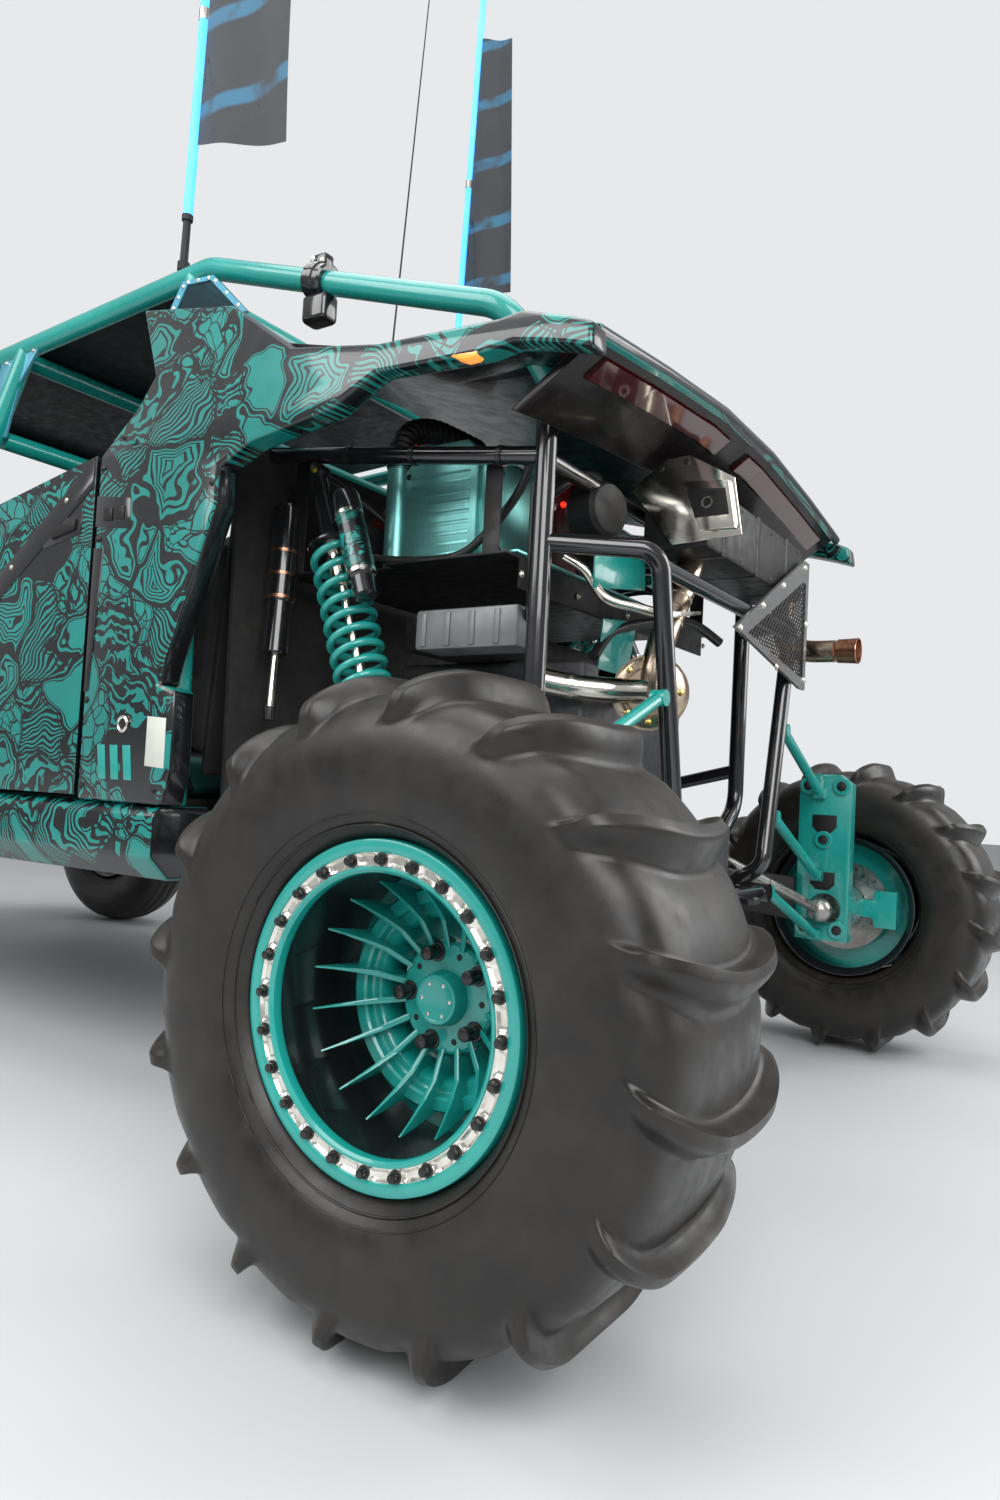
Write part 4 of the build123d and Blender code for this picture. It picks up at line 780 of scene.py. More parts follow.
def wear(node: str, look: Look) -> None:
    """Gives a CAD node's own mesh a finish."""
    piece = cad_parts[node]
    piece.data.materials.clear()
    piece.data.materials.append(material(look))


# View, floor and light
@dataclass(frozen=True)
class Studio:
    """Camera at the photograph's viewing angle, pale floor and soft lamps."""

    eye: Point = (-789.0, 2127.0, 700.0)
    yaw: float = -56.31
    pitch: float = 2.53
    roll: float = 3.04
    lens: float = 24.0

    def camera(self) -> None:
        """Places the camera."""
        yaw, pitch, roll = radians(self.yaw), radians(self.pitch), radians(self.roll)
        ahead = Vector((cos(pitch) * cos(yaw), cos(pitch) * sin(yaw), sin(pitch)))
        level = Vector((sin(yaw), -cos(yaw), 0.0))
        above = level.cross(ahead)
        right = level * cos(roll) + above * sin(roll)
        up = above * cos(roll) - level * sin(roll)
        data = bpy.data.cameras.new("view")
        data.sensor_width = 36.0
        data.lens = self.lens
        data.clip_start = 0.02
        camera = bpy.data.objects.new("view", data)
        camera.matrix_world = (Matrix.Translation(at(*self.eye))
                               @ Matrix((right, up, -ahead)).transposed().to_4x4())
        bpy.context.scene.collection.objects.link(camera)
        bpy.context.scene.camera = camera

    def floor(self) -> None:
        """Lays the pale floor."""
        shape = Shape().paint(Look.STICKER)
        shape.sheet(2, 2, lambda u, v: Vector(((u - 0.5) * 60, (v - 0.5) * 60, -0.0005)))
        mesh = bpy.data.meshes.new("floor")
        shape.bm.to_mesh(mesh)
        shape.bm.free()
        nodes = Nodes("floor")
        nodes.put(nodes.shader.inputs["Base Color"],
                  nodes.mix(nodes.span(nodes.grain(1.3, 5.0), 0.3, 0.7), rgba((0.62, 0.63, 0.64)),
                            rgba((0.58, 0.59, 0.60))))
        nodes.shader.inputs["Roughness"].default_value = 0.55
        mesh.materials.append(nodes.material)
        floor_piece = bpy.data.objects.new("floor", mesh)
        bpy.context.scene.collection.objects.link(floor_piece)

    def lamps(self) -> None:
        """Hangs the soft lamps and sets the pale surroundings."""
        # Place, aim, size in metres, watts
        rows = (
            ((-2600, 3600, 3300), (300, 700, 800), 3.2, 190.0),
            ((-3200, -2600, 2700), (0, -400, 900), 3.0, 120.0),
            ((2200, 4200, 3600), (1600, 0, 900), 3.4, 150.0),
            ((900, 300, 5600), (900, 0, 600), 4.5, 150.0),
        )
        for index, (place, aim, size, power) in enumerate(rows):
            data = bpy.data.lights.new(f"lamp_{index}", "AREA")
            data.shape = "SQUARE"
            data.size = size
            data.energy = power
            lamp = bpy.data.objects.new(f"lamp_{index}", data)
            lamp.visible_camera = False
            spot = at(*place)
            turn = (at(*aim) - spot).to_track_quat("-Z", "Y").to_matrix().to_4x4()
            lamp.matrix_world = Matrix.Translation(spot) @ turn
            bpy.context.scene.collection.objects.link(lamp)
        world = bpy.data.worlds.new("surroundings")
        bpy.context.scene.world = world
        world.use_nodes = True
        tree = world.node_tree
        rays = tree.nodes.new("ShaderNodeLightPath")
        clear = tree.nodes.new("ShaderNodeMath")
        clear.operation = "MAXIMUM"
        tree.links.new(rays.outputs["Is Camera Ray"], clear.inputs[0])
        tree.links.new(rays.outputs["Is Transmission Ray"], clear.inputs[1])
        strength = tree.nodes.new("ShaderNodeMapRange")
        tree.links.new(clear.outputs[0], strength.inputs[0])
        strength.inputs[3].default_value = 0.42
        strength.inputs[4].default_value = 0.86
        ground = tree.nodes["Background"]
        ground.inputs[0].default_value = (0.93, 0.95, 0.97, 1.0)
        tree.links.new(strength.outputs[0], ground.inputs[1])
        bpy.context.scene.view_settings.view_transform = "Standard"


# Wheels
@dataclass
class Tyre:
    """Sand tyre: a round carcass, with cupped scoops on the driven axle and low ribs on the steered one."""

    node: str
    body: str
    section: tuple[Flat, ...]
    scoops: int = 0
    scoop_h: float = 32.0
    scoop_reach: float = 186.0
    lead: float = 66.0
    lean: float = 7.0
    ribs: tuple[float, ...] = ()
    # Steps round a tyre without scoops, and round the thin rings of its wall
    steps: int = 128
    ring_steps: int = 120
    # Places round one pitch, as millimetres from the middle of the scoop's wall
    columns: tuple[float, ...] = (-70.0, -52.0, -40.0, -31.0, -25.0, -20.0, -16.0, -12.5, -10.0, -8.0, -5.5,
                                  -3.0, 0.0, 3.0, 5.5, 8.0, 10.0, 12.5, 15.5, 19.0, 24.0, 32.0, 46.0, 64.0)

    def wall(self, d: float) -> float:
        """Share of the scoop's height at a distance from its middle, steep on the leading side."""
        return ease(d, -34.0, -7.0) ** 1.4 if d < 0 else 1.0 - ease(d, 5.0, 17.0)

    def point(self, centre: Vector, turn: float, along: float, radius: float) -> Vector:
        """Place at a turn about the axle, forward from the top."""
        return centre + Vector((sin(turn) * radius, along, cos(turn) * radius)) * MM

    def build(self) -> None:
        """Makes the tyre."""
        centre = box_centre(self.node)
        half_line = smooth_line([Vector((u, r, 0.0)) for u, r in self.section], 5)
        line = half_line + [Vector((-p.x, p.y, 0.0)) for p in reversed(half_line[:-1])]
        middle = len(half_line) - 1
        lengths = [0.0]
        for near, far in zip(line, line[1:]):
            lengths.append(lengths[-1] + (far - near).length)
        arcs = [length - lengths[middle] for length in lengths]
        normals = []
        for index in range(len(line)):
            run = line[min(index + 1, len(line) - 1)] - line[max(index - 1, 0)]
            normals.append(Vector((-run.y, run.x, 0.0)).normalized() * (1 if run.x < 0 else -1))
        normals = [n if n.dot(Vector((p.x, p.y - 280.0, 0))) > 0 else -n for n, p in zip(normals, line)]
        crown = self.section[-1][1]
        pitch = 2 * pi / self.scoops if self.scoops else 2 * pi
        even = tuple(index * 2 * pi * crown / self.steps for index in range(self.steps))
        offsets = self.columns if self.scoops else even
        total = len(offsets) * (self.scoops or 1)

        def place(u: float, v: float) -> Vector:
            """Point of the carcass with its scoops or ribs."""
            column = round(u * total)
            lap, slot = divmod(column, len(offsets))
            row = round(v * (len(line) - 1))
            d, arc = offsets[slot], arcs[row]
            share = abs(arc) / self.scoop_reach
            turn = (lap + 0.5) * pitch + d / crown
            height, shift = 0.0, 0.0
            if self.scoops:
                fade = 1.0 - ease(share, 0.80, 1.0)
                swell = 1.0 - 0.30 * ease(share, 0.35, 0.85)
                height = self.scoop_h * self.wall(d) * fade * swell
                hollow = 5.0 * ease(d, -70.0, -30.0) * (1 - ease(d, -30.0, -8.0)) * fade
                shift = self.lead * min(share, 1.05) ** 2.3 + self.lean * (height / self.scoop_h) ** 2
                height -= hollow
            for rib in self.ribs:
                height += 7.0 * exp(-((abs(line[row].x) - rib) / 8.0) ** 4)
            spot = line[row] + normals[row] * height
            return self.point(centre, turn + shift / crown, spot.x, spot.y)

        shape = Shape().paint(Look.RUBBER)
        shape.sheet(total, len(line) - 1, place, weld=True)
        bmesh.ops.recalc_face_normals(shape.bm, faces=shape.bm.faces[:])
        inner = self.section[0][1]
        for side in (1, -1):
            for radius, gauge in ((inner + 16.0, 1.6), (inner + 30.0, 1.1)):
                along = next(p.x for p in half_line if p.y >= radius)
                ring = [self.point(centre, step * 2 * pi / self.ring_steps, side * (along - 0.6), radius)
                        for step in range(self.ring_steps)]
                shape.sweep(ring, gauge, 6, closed=True)
        shape.finish(self.node + "_sand", self.body, "tyre", [self.node], 60.0)


@dataclass
class BeadlockWheel:
    """Rim with a bolted ring, a deep barrel and pointed blades that rise from the hub."""

    node: str
    body: str
    side: int
    half: float
    dish: float
    rise: float
    blades: int = 18
    bolts: int = 24
    lugs: int = 5
    rim_r: float = 212.0
    wall_r: float = 184.0

    def build(self) -> None:
        """Makes the wheel's pieces."""
        centre = box_centre(self.node)
        centre.y = box_centre(self.node.replace("rim", "tyre")).y
        self.centre = centre
        self.out = Vector((0.0, self.side, 0.0))
        self.face = self.half - self.dish
        self.shell()
        self.middle()
        self.hardware()

    def polar(self, along: float, radius: float, turn: float) -> Vector:
        """Place at a distance outboard of the middle plane, a radius and a turn."""
        return self.centre + self.out * (along * MM) + Vector((sin(turn), 0.0, cos(turn))) * (radius * MM)

    def shell(self) -> None:
        """Barrel, rolled lips, bolted ring and the machined band with its pockets."""
        half, wall = self.half, self.wall_r
        shape = Shape().paint(Look.BLACK_GLOSS)
        barrel = [(half - 17, wall), (half - 40, wall - 1), (half - 60, wall - 1), (20 - half, wall),
                  (2 - half, wall + 14), (-half, wall + 18), (-half, wall + 21), (8 - half, wall + 21),
                  (12 - half, wall + 8), (half - 19, wall + 8)]
        shape.lathe(barrel, self.centre, self.out, 128)
        shape.paint(Look.TEAL_PAINT)
        rim = self.rim_r
        ring = [(half - 19, rim), (half - 3, rim), (half - 0.8, rim - 1.2), (half, rim - 3.5),
                (half, rim - 15), (half - 1.2, rim - 17), (half - 5, rim - 18), (half - 19, rim - 18)]
        shape.lathe(ring, self.centre, self.out, 144)
        lip = [(half - 5, 179.5), (half - 1.0, 177.5), (half - 1.2, 174), (half - 4, 170.5), (half - 9, 169),
               (half - 17, 170.5), (half - 21, 176), (half - 21, 184), (half - 12, 184), (half - 8, 181)]
        shape.lathe(lip, self.centre, self.out, 144)
        shape.paint(Look.MACHINED)
        columns, rows = self.bolts * 16, 10

        def band(u: float, v: float) -> Vector:
            """Machined band, pressed in between the bolts."""
            phase = abs((u * self.bolts) % 1.0 - 0.5) * 2
            press = (1.0 - ease(phase, 0.42, 0.66)) * ease(v, 0.08, 0.30) * (1 - ease(v, 0.70, 0.92))
            return self.polar(half - 2.6 - 3.6 * press, 178.0 + 18.0 * v, u * 2 * pi)

        shape.sheet(columns, rows, band, weld=True)
        shape.finish(self.node + "_shell", self.body, "rim", [self.node])

    def middle(self) -> None:
        """Stepped centre with windows, and the blades that stand on it."""
        face, rise = self.face, self.rise
        shape = Shape().paint(Look.TEAL_PAINT)
        hub = [(face - 62, 0.0), (face - 62, 76), (face - 44, 78), (face - 34, 78), (face - 12, 76),
               (face - 3, 74), (face, 70), (face + 1, 52), (face + 2, 37), (face + 20, 34),
               (face + 23.5, 31.5), (face + 24, 28), (face + 23, 26), (face + 23, 0.0)]
        shape.lathe(hub, self.centre, self.out, 96)
        steps = [(face - 44, 104), (face - 44, self.wall_r + 1), (face - 32, self.wall_r + 1),
                 (face - 28, 150), (face + 2, 147), (face + 14, 146), (face + 17, 143), (face + 17, 129),
                 (face + 14, 126), (face + 5, 124), (face + 3, 121), (face + 3, 112), (face, 109),
                 (face - 10, 105), (face - 30, 104)]
        steps.append(steps[0])
        shape.lathe(steps, self.centre, self.out, 144)
        for step in range(self.blades):
            self.blade(shape, step * 2 * pi / self.blades, face, rise)
        shape.finish(self.node + "_centre", self.body, "rim")

    def blade(self, shape: Shape, turn: float, face: float, rise: float) -> None:
        """One blade: a thin plate that thins towards its point.

        Args:
            shape: Mesh that takes it.
            turn: Turn about the axle.
            face: Distance of the hub's face from the middle plane.
            rise: How far the point stands outboard of the face.
        """
        top = [(face + 2, 66), (face + 6, 84), (face + 0.20 * rise, 104), (face + 0.44 * rise, 126),
               (face + 0.74 * rise, 147), (face + rise, 162)]
        low = [(face + rise - 3, 162.5), (face + 0.56 * rise, 157), (face + 0.30 * rise, 151),
               (face + 8, 147.5), (face - 10, 147), (face - 30, 140), (face - 30, 66)]
        outline = [self.polar(along, radius, turn) for along, radius in top + low]
        across = Vector((cos(turn), 0.0, -sin(turn)))
        before = set(shape.bm.verts)
        shape.plate([point - across * 4.2 * MM for point in outline], across * 8.4 * MM, 1.1)
        for vert in set(shape.bm.verts) - before:
            away = vert.co - self.centre
            away -= self.out * away.dot(self.out)
            reach = away.length / MM
            offset = away.dot(across)
            vert.co -= across * offset * 0.68 * ease(reach, 96.0, 163.0)

    def hardware(self) -> None:
        """Ring bolts, lug nuts and the bare cap with its small screws."""
        shape = Shape().paint(Look.BLACK_BOLT)
        for step in range(self.bolts):
            foot = self.polar(self.half - 2.8, 187.0, step * 2 * pi / self.bolts)
            shape.bolt(foot, self.out, 6.4, 10.5)
        for step in range(self.lugs):
            turn = step * 2 * pi / self.lugs + 0.3
            shape.drum(self.polar(self.face - 4, 61, turn), self.polar(self.face + 3, 61, turn), 14.5, 13.0,
                       28, 0.8)
            shape.drum(self.polar(self.face, 61, turn), self.polar(self.face + 27, 61, turn), 10.5, 9.4, 20,
                       2.4)
        shape.paint(Look.MACHINED)
        for step in range(6):
            turn = (step + 0.5) * pi / 3
            shape.bolt(self.polar(self.face + 22.6, 22.5, turn), self.out, 1.9, 1.6, False)
        shape.paint(Look.BLACK_SATIN)
        for step in range(self.lugs):
            turn = (step + 0.5) * 2 * pi / self.lugs + 0.3
            shape.drum(self.polar(self.face, 58, turn), self.polar(self.face + 1.2, 58, turn), 5.0, 4.0, 16)
        shape.paint(Look.STEEL)
        back = self.face - 96
        disc = [(back, 46), (back, 129.5), (back - 6, 129.5), (back - 6, 46)]
        shape.lathe(disc, self.centre, self.out, 96)
        shape.drum(self.polar(self.face - 60, 0, 0), self.polar(back - 60, 0, 0), 43.0, sides=40)
        shape.finish(self.node + "_hardware", self.body, "rim")


REAR_SECTION: tuple[Flat, ...] = ((119.0, 212.6), (128.0, 214.5), (140.0, 222.0), (155.0, 240.0),
                                  (164.0, 265.0), (168.0, 295.0), (167.5, 325.0), (162.0, 351.0),
                                  (149.0, 374.0), (126.0, 389.0), (90.0, 396.5), (45.0, 399.5), (0.0, 400.0))
FRONT_SECTION: tuple[Flat, ...] = ((81.0, 212.6), (90.0, 214.5), (103.0, 224.0), (115.0, 246.0),
                                   (122.0, 280.0), (123.0, 315.0), (118.0, 348.0), (105.0, 378.0),
                                   (84.0, 396.0), (50.0, 403.5), (0.0, 405.5))


def build_wheels() -> None:
    """Builds the four wheels."""
    for hand, side in SIDES:
        Tyre(f"tyre_rear_{hand}", f"wheel_rear_{hand}", REAR_SECTION, scoops=16).build()
        BeadlockWheel(f"rim_rear_{hand}", f"wheel_rear_{hand}", side, 138.0, 150.0, 84.0).build()
        Tyre(f"tyre_front_{hand}", f"wheel_front_{hand}", FRONT_SECTION, ribs=(0.0, 42.0)).build()
        BeadlockWheel(f"rim_front_{hand}", f"wheel_front_{hand}", side, 100.0, 95.0, 58.0).build()


# Springs and dampers
@dataclass
class CoilOver:
    """Damper with its coil spring between two seats, and on some a patterned oil reservoir beside it."""

    name: str
    foot: Vector
    head: Vector
    coil_r: float
    wire_r: float
    turns: float
    damper_r: float
    span: tuple[float, float]
    reservoir: Vector | None = None

    def on(self, share: float, shift: float = 0.0) -> Vector:
        """Place along the damper."""
        run = self.head - self.foot
        return self.foot + run * share + run.normalized() * (shift * MM)

    def build(self, replaces: Sequence[str] = ()) -> None:
        """Makes the unit and says which CAD nodes it stands for."""
        run = self.head - self.foot
        unit = run.normalized()
        length = run.length / MM
        low, top = self.span
        wide = self.damper_r
        seat = self.coil_r + self.wire_r
        shape = Shape().paint(Look.BLACK_GLOSS)
        shape.lathe([(18, 0), (18, wide * 0.7), (length * low - 8, wide * 0.8), (length * low - 8, 0)],
                    self.foot, unit, 32)
        shape.lathe([(-7, wide * 0.5), (-7, seat - 4), (-4, seat), (0, seat), (4, seat - self.wire_r * 2),
                     (4, wide * 0.5)], self.on(low, 6), unit, 48)
        shape.lathe([(-3, wide * 0.6), (-3, seat - self.wire_r * 2), (0, seat), (5, seat), (8, seat - 3),
                     (8, wide * 0.6)], self.on(top), unit, 48)
        shape.lathe([(12, wide), (12, wide + 9), (14, wide + 11), (24, wide + 11), (26, wide + 9),
                     (26, wide)],
                    self.on(top), unit, 12)
        shape.lathe([(8, 0), (8, wide), (length * (0.93 - top) - 5, wide), (length * (0.93 - top), wide - 5),
                     (length * (0.93 - top), 0)], self.on(top), unit, 40)
        for eye, start, stop in ((self.foot, 0.0, 0.07), (self.head, 0.92, 1.0)):
            shape.drum(eye - Vector((0, 17, 0)) * MM, eye + Vector((0, 17, 0)) * MM, 17.5, sides=28,
                       bevel=1.5)
            shape.drum(self.on(start), self.on(stop), wide * 0.55, sides=20)
        shape.paint(Look.POLISHED)
        shape.drum(self.on(low), self.on(top), wide * 0.42, sides=28)
        shape.drum(self.on(top, -90), self.on(top), wide * 0.92, sides=32)
        shape.paint(Look.GOLD)
        for eye in (self.foot, self.head):
            for side in (1, -1):
                shape.bolt(eye + Vector((0, 17 * side, 0)) * MM, Vector((0, side, 0)), 7.0, 6.0)
        shape.paint(Look.TEAL_PAINT)
        across = unit.orthogonal().normalized()
        other = unit.cross(across)
        steps = int(self.turns * 26)
        bottom = length * low + 8 + self.wire_r
        rise = length * top - self.wire_r - 1 - bottom
        coil = []
        for step in range(steps + 1):
            share = step / steps
            turn = share * self.turns * 2 * pi
            coil.append(self.foot + unit * (bottom + rise * share ** 1.18) * MM
                        + (across * cos(turn) + other * sin(turn)) * self.coil_r * MM)
        shape.sweep(coil, self.wire_r, 12)
        if self.reservoir is not None:
            self.side_tank(shape, unit, length)
        shape.finish(self.name, "chassis", "damper", replaces)

    def side_tank(self, shape: Shape, unit: Vector, length: float) -> None:
        """Reservoir with its printed sleeve, black ends, clamps and bridge.

        Args:
            shape: Mesh that takes it.
            unit: Direction of the damper.
            length: Millimetres from eye to eye.
        """
        low, tall = self.on(0.58) + self.reservoir, length * 0.27
        shape.paint(Look.SLEEVE)
        shape.lathe([(tall * 0.20, 0), (tall * 0.20, 29.4), (tall * 0.80, 29.4), (tall * 0.80, 0)], low, unit,
                    48)
        shape.paint(Look.BLACK_GLOSS)
        shape.lathe([(0, 0), (0, 20), (3, 25), (tall * 0.17, 25), (tall * 0.19, 29), (tall * 0.21, 29.8),
                     (tall * 0.21, 0)], low, unit, 48)
        shape.lathe([(tall * 0.79, 0), (tall * 0.79, 29.8), (tall * 0.97, 29.8), (tall, 26), (tall, 0)], low,
                    unit, 48)
        neck = self.on(0.825)
        shape.drum(neck, neck + self.reservoir, 11.0, sides=20)
        shape.paint(Look.MACHINED)
        for share in (0.22, 0.78):
            shape.lathe([(-4, 29), (-4, 30.4), (4, 30.4), (4, 29)], low + unit * tall * share * MM, unit, 48)
        shape.paint(Look.GOLD)
        shape.bolt(low + unit * tall * MM, unit, 8.0, 6.0)


def build_shocks() -> None:
    """Builds the four coil-over units."""
    front_foot = at(WHEELBASE + 57, 600, box_centre("tyre_front_left").z / MM - 143 + 125.7)
    front_head = at(WHEELBASE + 57, 299, 860)
    for hand, side in SIDES:
        first = ["shocks", "springs"] if side > 0 else []
        flip = Vector((1, side, 1))
        CoilOver(f"rear_shock_{hand}", at(430, 618.9, 551.7) * flip, at(790, 540, 1394.3) * flip, 51.5, 8.3,
                 12.5, 25.5, (0.27, 0.78), Vector((-84, 50, 41)) * MM * flip).build(first)
        CoilOver(f"front_shock_{hand}", front_foot * flip, front_head * flip, 31.0, 5.0, 9.0, 17.0,
                 (0.16, 0.72)).build()


# Engine bay
@dataclass
class CoolerBay:
    """Charge cooler, its pipe and ribbed hose, housings and wiring on the shelf."""

    box_z: float = 1178.3

    def build(self) -> None:
        """Makes the bay's pieces."""
        self.cooler()
        self.intake()
        self.housings()
        self.looms()

    def cooler(self) -> None:
        """Brushed cooler with end tanks, fins, bolts and a breather."""
        low = self.box_z
        # Painted teal light: the aluminium cooler is tinted teal for the underglow that falls on it
        shape = Shape().paint(Look.TEAL_LIT_ALLOY)
        shape.side_plate([(421, low), (619, low), (619, 1398), (560, 1448), (452, 1448), (421, 1420)], 231,
                         449, 5)
        shape.side_plate([(376, low), (424, low), (424, 1428), (376, 1398)], 241, 439, 6)
        for step in range(9):
            z = low + 22 + step * 22
            shape.block(at(440, 449, z), at(600, 449.9, z + 9), 0.4)
        shape.paint(Look.BLACK_GLOSS)
        shape.lathe([(0, 0), (0, 26), (5, 26), (7, 31), (20, 31), (24, 27), (26, 0)], at(500, 340, 1425),
                    Vector((0, 0, 1)), 40)
        for x, z in ((432, 1400), (432, low + 14), (608, low + 14), (608, 1385)):
            shape.bolt(at(x, 448, z), Vector((0, 1, 0)), 5.0, 4.0)
        for z in (low + 30, low + 110, low + 190):
            shape.bolt(at(376, 425, z), Vector((-1, 0, 0)), 5.0, 4.0)
        shape.finish("cooler_detail", "chassis", "cooler", ["cooler_box"])

    def intake(self) -> None:
        """Bright pipe that a clamp joins to a ribbed hose."""
        # The pipe's teal tint is painted teal underglow on the aluminium
        shape = Shape().paint(Look.TEAL_LIT_ALLOY)
        shape.drum(at(650.3, 430, self.box_z), at(650.3, 430, 1425), 27.5, sides=40)
        shape.lathe([(0, 27.5), (0, 29.8), (6, 29.8), (6, 27.5)], at(650.3, 430, 1419), Vector((0, 0, 1)), 40)
        shape.paint(Look.HOSE)
        bend = [(650, 430, 1410), (650, 430, 1450), (649, 400, 1502), (646, 330, 1532), (643, 240, 1539),
                (640, 152, 1540)]
        shape.pipe(bend, lambda share: 27.6 + 1.9 * sin(share * 2 * pi * 22), 28, 26)
        shape.paint(Look.MACHINED)
        for z in (1416, 1432):
            shape.lathe([(0, 29.4), (0, 30.9), (9, 30.9), (9, 29.4)], at(650.3, 430, z), Vector((0, 0, 1)),
                        40)
            shape.block(at(640, 456, z), at(662, 466, z + 9), 1.0)
        shape.finish("intake_hose", "chassis", "hose", ["intake_tube"])

    def housings(self) -> None:
        """Grey housing, panels in painted red lamp light, small lenses glowing as painted red glints, drum
        and brackets tinted with painted teal light round the cooler.
        """
        # Panels coloured dark red as painted red lamp light
        shape = Shape().paint(Look.RED_LIT_PANEL)
        shape.side_plate([(300, self.box_z), (372, self.box_z), (372, 1330), (330, 1395)], 222, 228, 1.5)
        shape.cross_plate([(40, 1300), (215, 1300), (215, 1410), (120, 1440), (40, 1440)], 372, 376, 1.5)
        shape.side_plate([(700, 1190), (860, 1190), (860, 1330), (760, 1400), (700, 1340)], 300, 304, 1.5)
        shape.paint(Look.BLACK_SATIN)
        shape.lathe([(0, 0), (0, 52), (8, 58), (70, 58), (80, 50), (80, 0)], at(250, 300, 1300),
                    Vector((-1, 0.25, 0)), 48)
        shape.block(at(300, 30, self.box_z), at(372, 215, 1298), 8)
        shape.block(at(700, 320, self.box_z), at(860, 470, 1290), 12)
        shape.paint(Look.TEAL_PAINT)
        shape.cross_plate([(384, 1122), (152, 1162), (158, 1242), (384, 1194)], 168, 172, 1.0)
        shape.cross_plate([(200, 960), (60, 975), (15, 1120), (185, 1100)], 250, 254, 2.0)
        # Painted red glints: small glowing lenses standing for red lamp light reflected in the bay, not lamps
        shape.paint(Look.RED_GLINT_GLOW)
        for x, y, z in ((590, 452, 1446), (352, 232, 1392), (340, 232, 1352)):
            shape.lathe([(-2, 0), (-2, 7), (2, 6.5), (5, 4), (6, 0)], at(x, y, z), Vector((-0.4, 1, 0)), 24)
        # Brackets tinted with painted teal underglow
        shape.paint(Look.TEAL_LIT_ALLOY)
        shape.side_plate([(279, self.box_z), (300, self.box_z), (300, self.box_z + 5), (279, self.box_z + 5)],
                         -500, 500, 0.8)
        shape.side_plate([(300, self.box_z), (600, self.box_z), (600, self.box_z + 5), (300, self.box_z + 5)],
                         452, 500, 0.8)
        shape.paint(Look.GREY_BOX)
        shape.block(at(250, 440, 985), at(500, 532, 1068), 8)
        for x in (290, 350, 410, 470):
            shape.block(at(x, 531, 992), at(x + 14, 535, 1060), 1.5)
        shape.paint(Look.MACHINED)
        shape.cross_plate([(250, 1235), (330, 1225), (330, 1219), (250, 1229)], 215, 260, 0.8)
        for y in (-470, -240, 0, 240, 470):
            shape.bolt(at(286, y, 1140), Vector((-1, 0, 0)), 5.5, 5)
        shape.finish("bay_housings", "chassis", "cooler")

    def looms(self) -> None:
        """Wiring, hoses and clips."""
        shape = Shape().paint(Look.HOSE)
        for points, radius in (
                (((240, 520, 1360), (300, 480, 1300), (380, 470, 1230), (460, 470, 1190), (620, 480, 1195),
                  (800, 500, 1230)), 9.0),
                (((228, 530, 1300), (232, 525, 1180), (240, 510, 1060), (300, 470, 1020), (330, 420, 1000)),
                 7.0),
                (((300, 400, 1300), (260, 300, 1390), (300, 150, 1420), (420, 60, 1400), (560, -40, 1380)),
                 11.0),
                (((700, 400, 1300), (760, 460, 1360), (820, 500, 1400), (900, 480, 1420)), 8.0),
                (((130, -200, 1100), (180, -120, 1140), (230, 0, 1120), (260, 120, 1080), (250, 220, 1010)),
                 12.0),
                (((620, 240, 1300), (680, 160, 1330), (760, 40, 1330), (820, -120, 1300)), 19.0)):
            shape.pipe(points, radius, 14, 8)
        for y in (-380, -330, -280):
            shape.pipe([(300, y, 1182), (330, y - 10, 1240), (420, y, 1280), (560, y + 30, 1250),
                        (640, y + 40, 1184)],
                       6.0, 10, 6)
        shape.paint(Look.BLACK_BOLT)
        for x, z in ((300, 1359.5), (520, 1391.5), (700, 1417.8)):
            for side in (1, -1):
                shape.lathe([(-6, 18), (-6, 20.5), (6, 20.5), (6, 18)], at(x, side * 540, z),
                            Vector((735, 0, 107)), 24)
        shape.finish("bay_looms", "chassis", "hose")


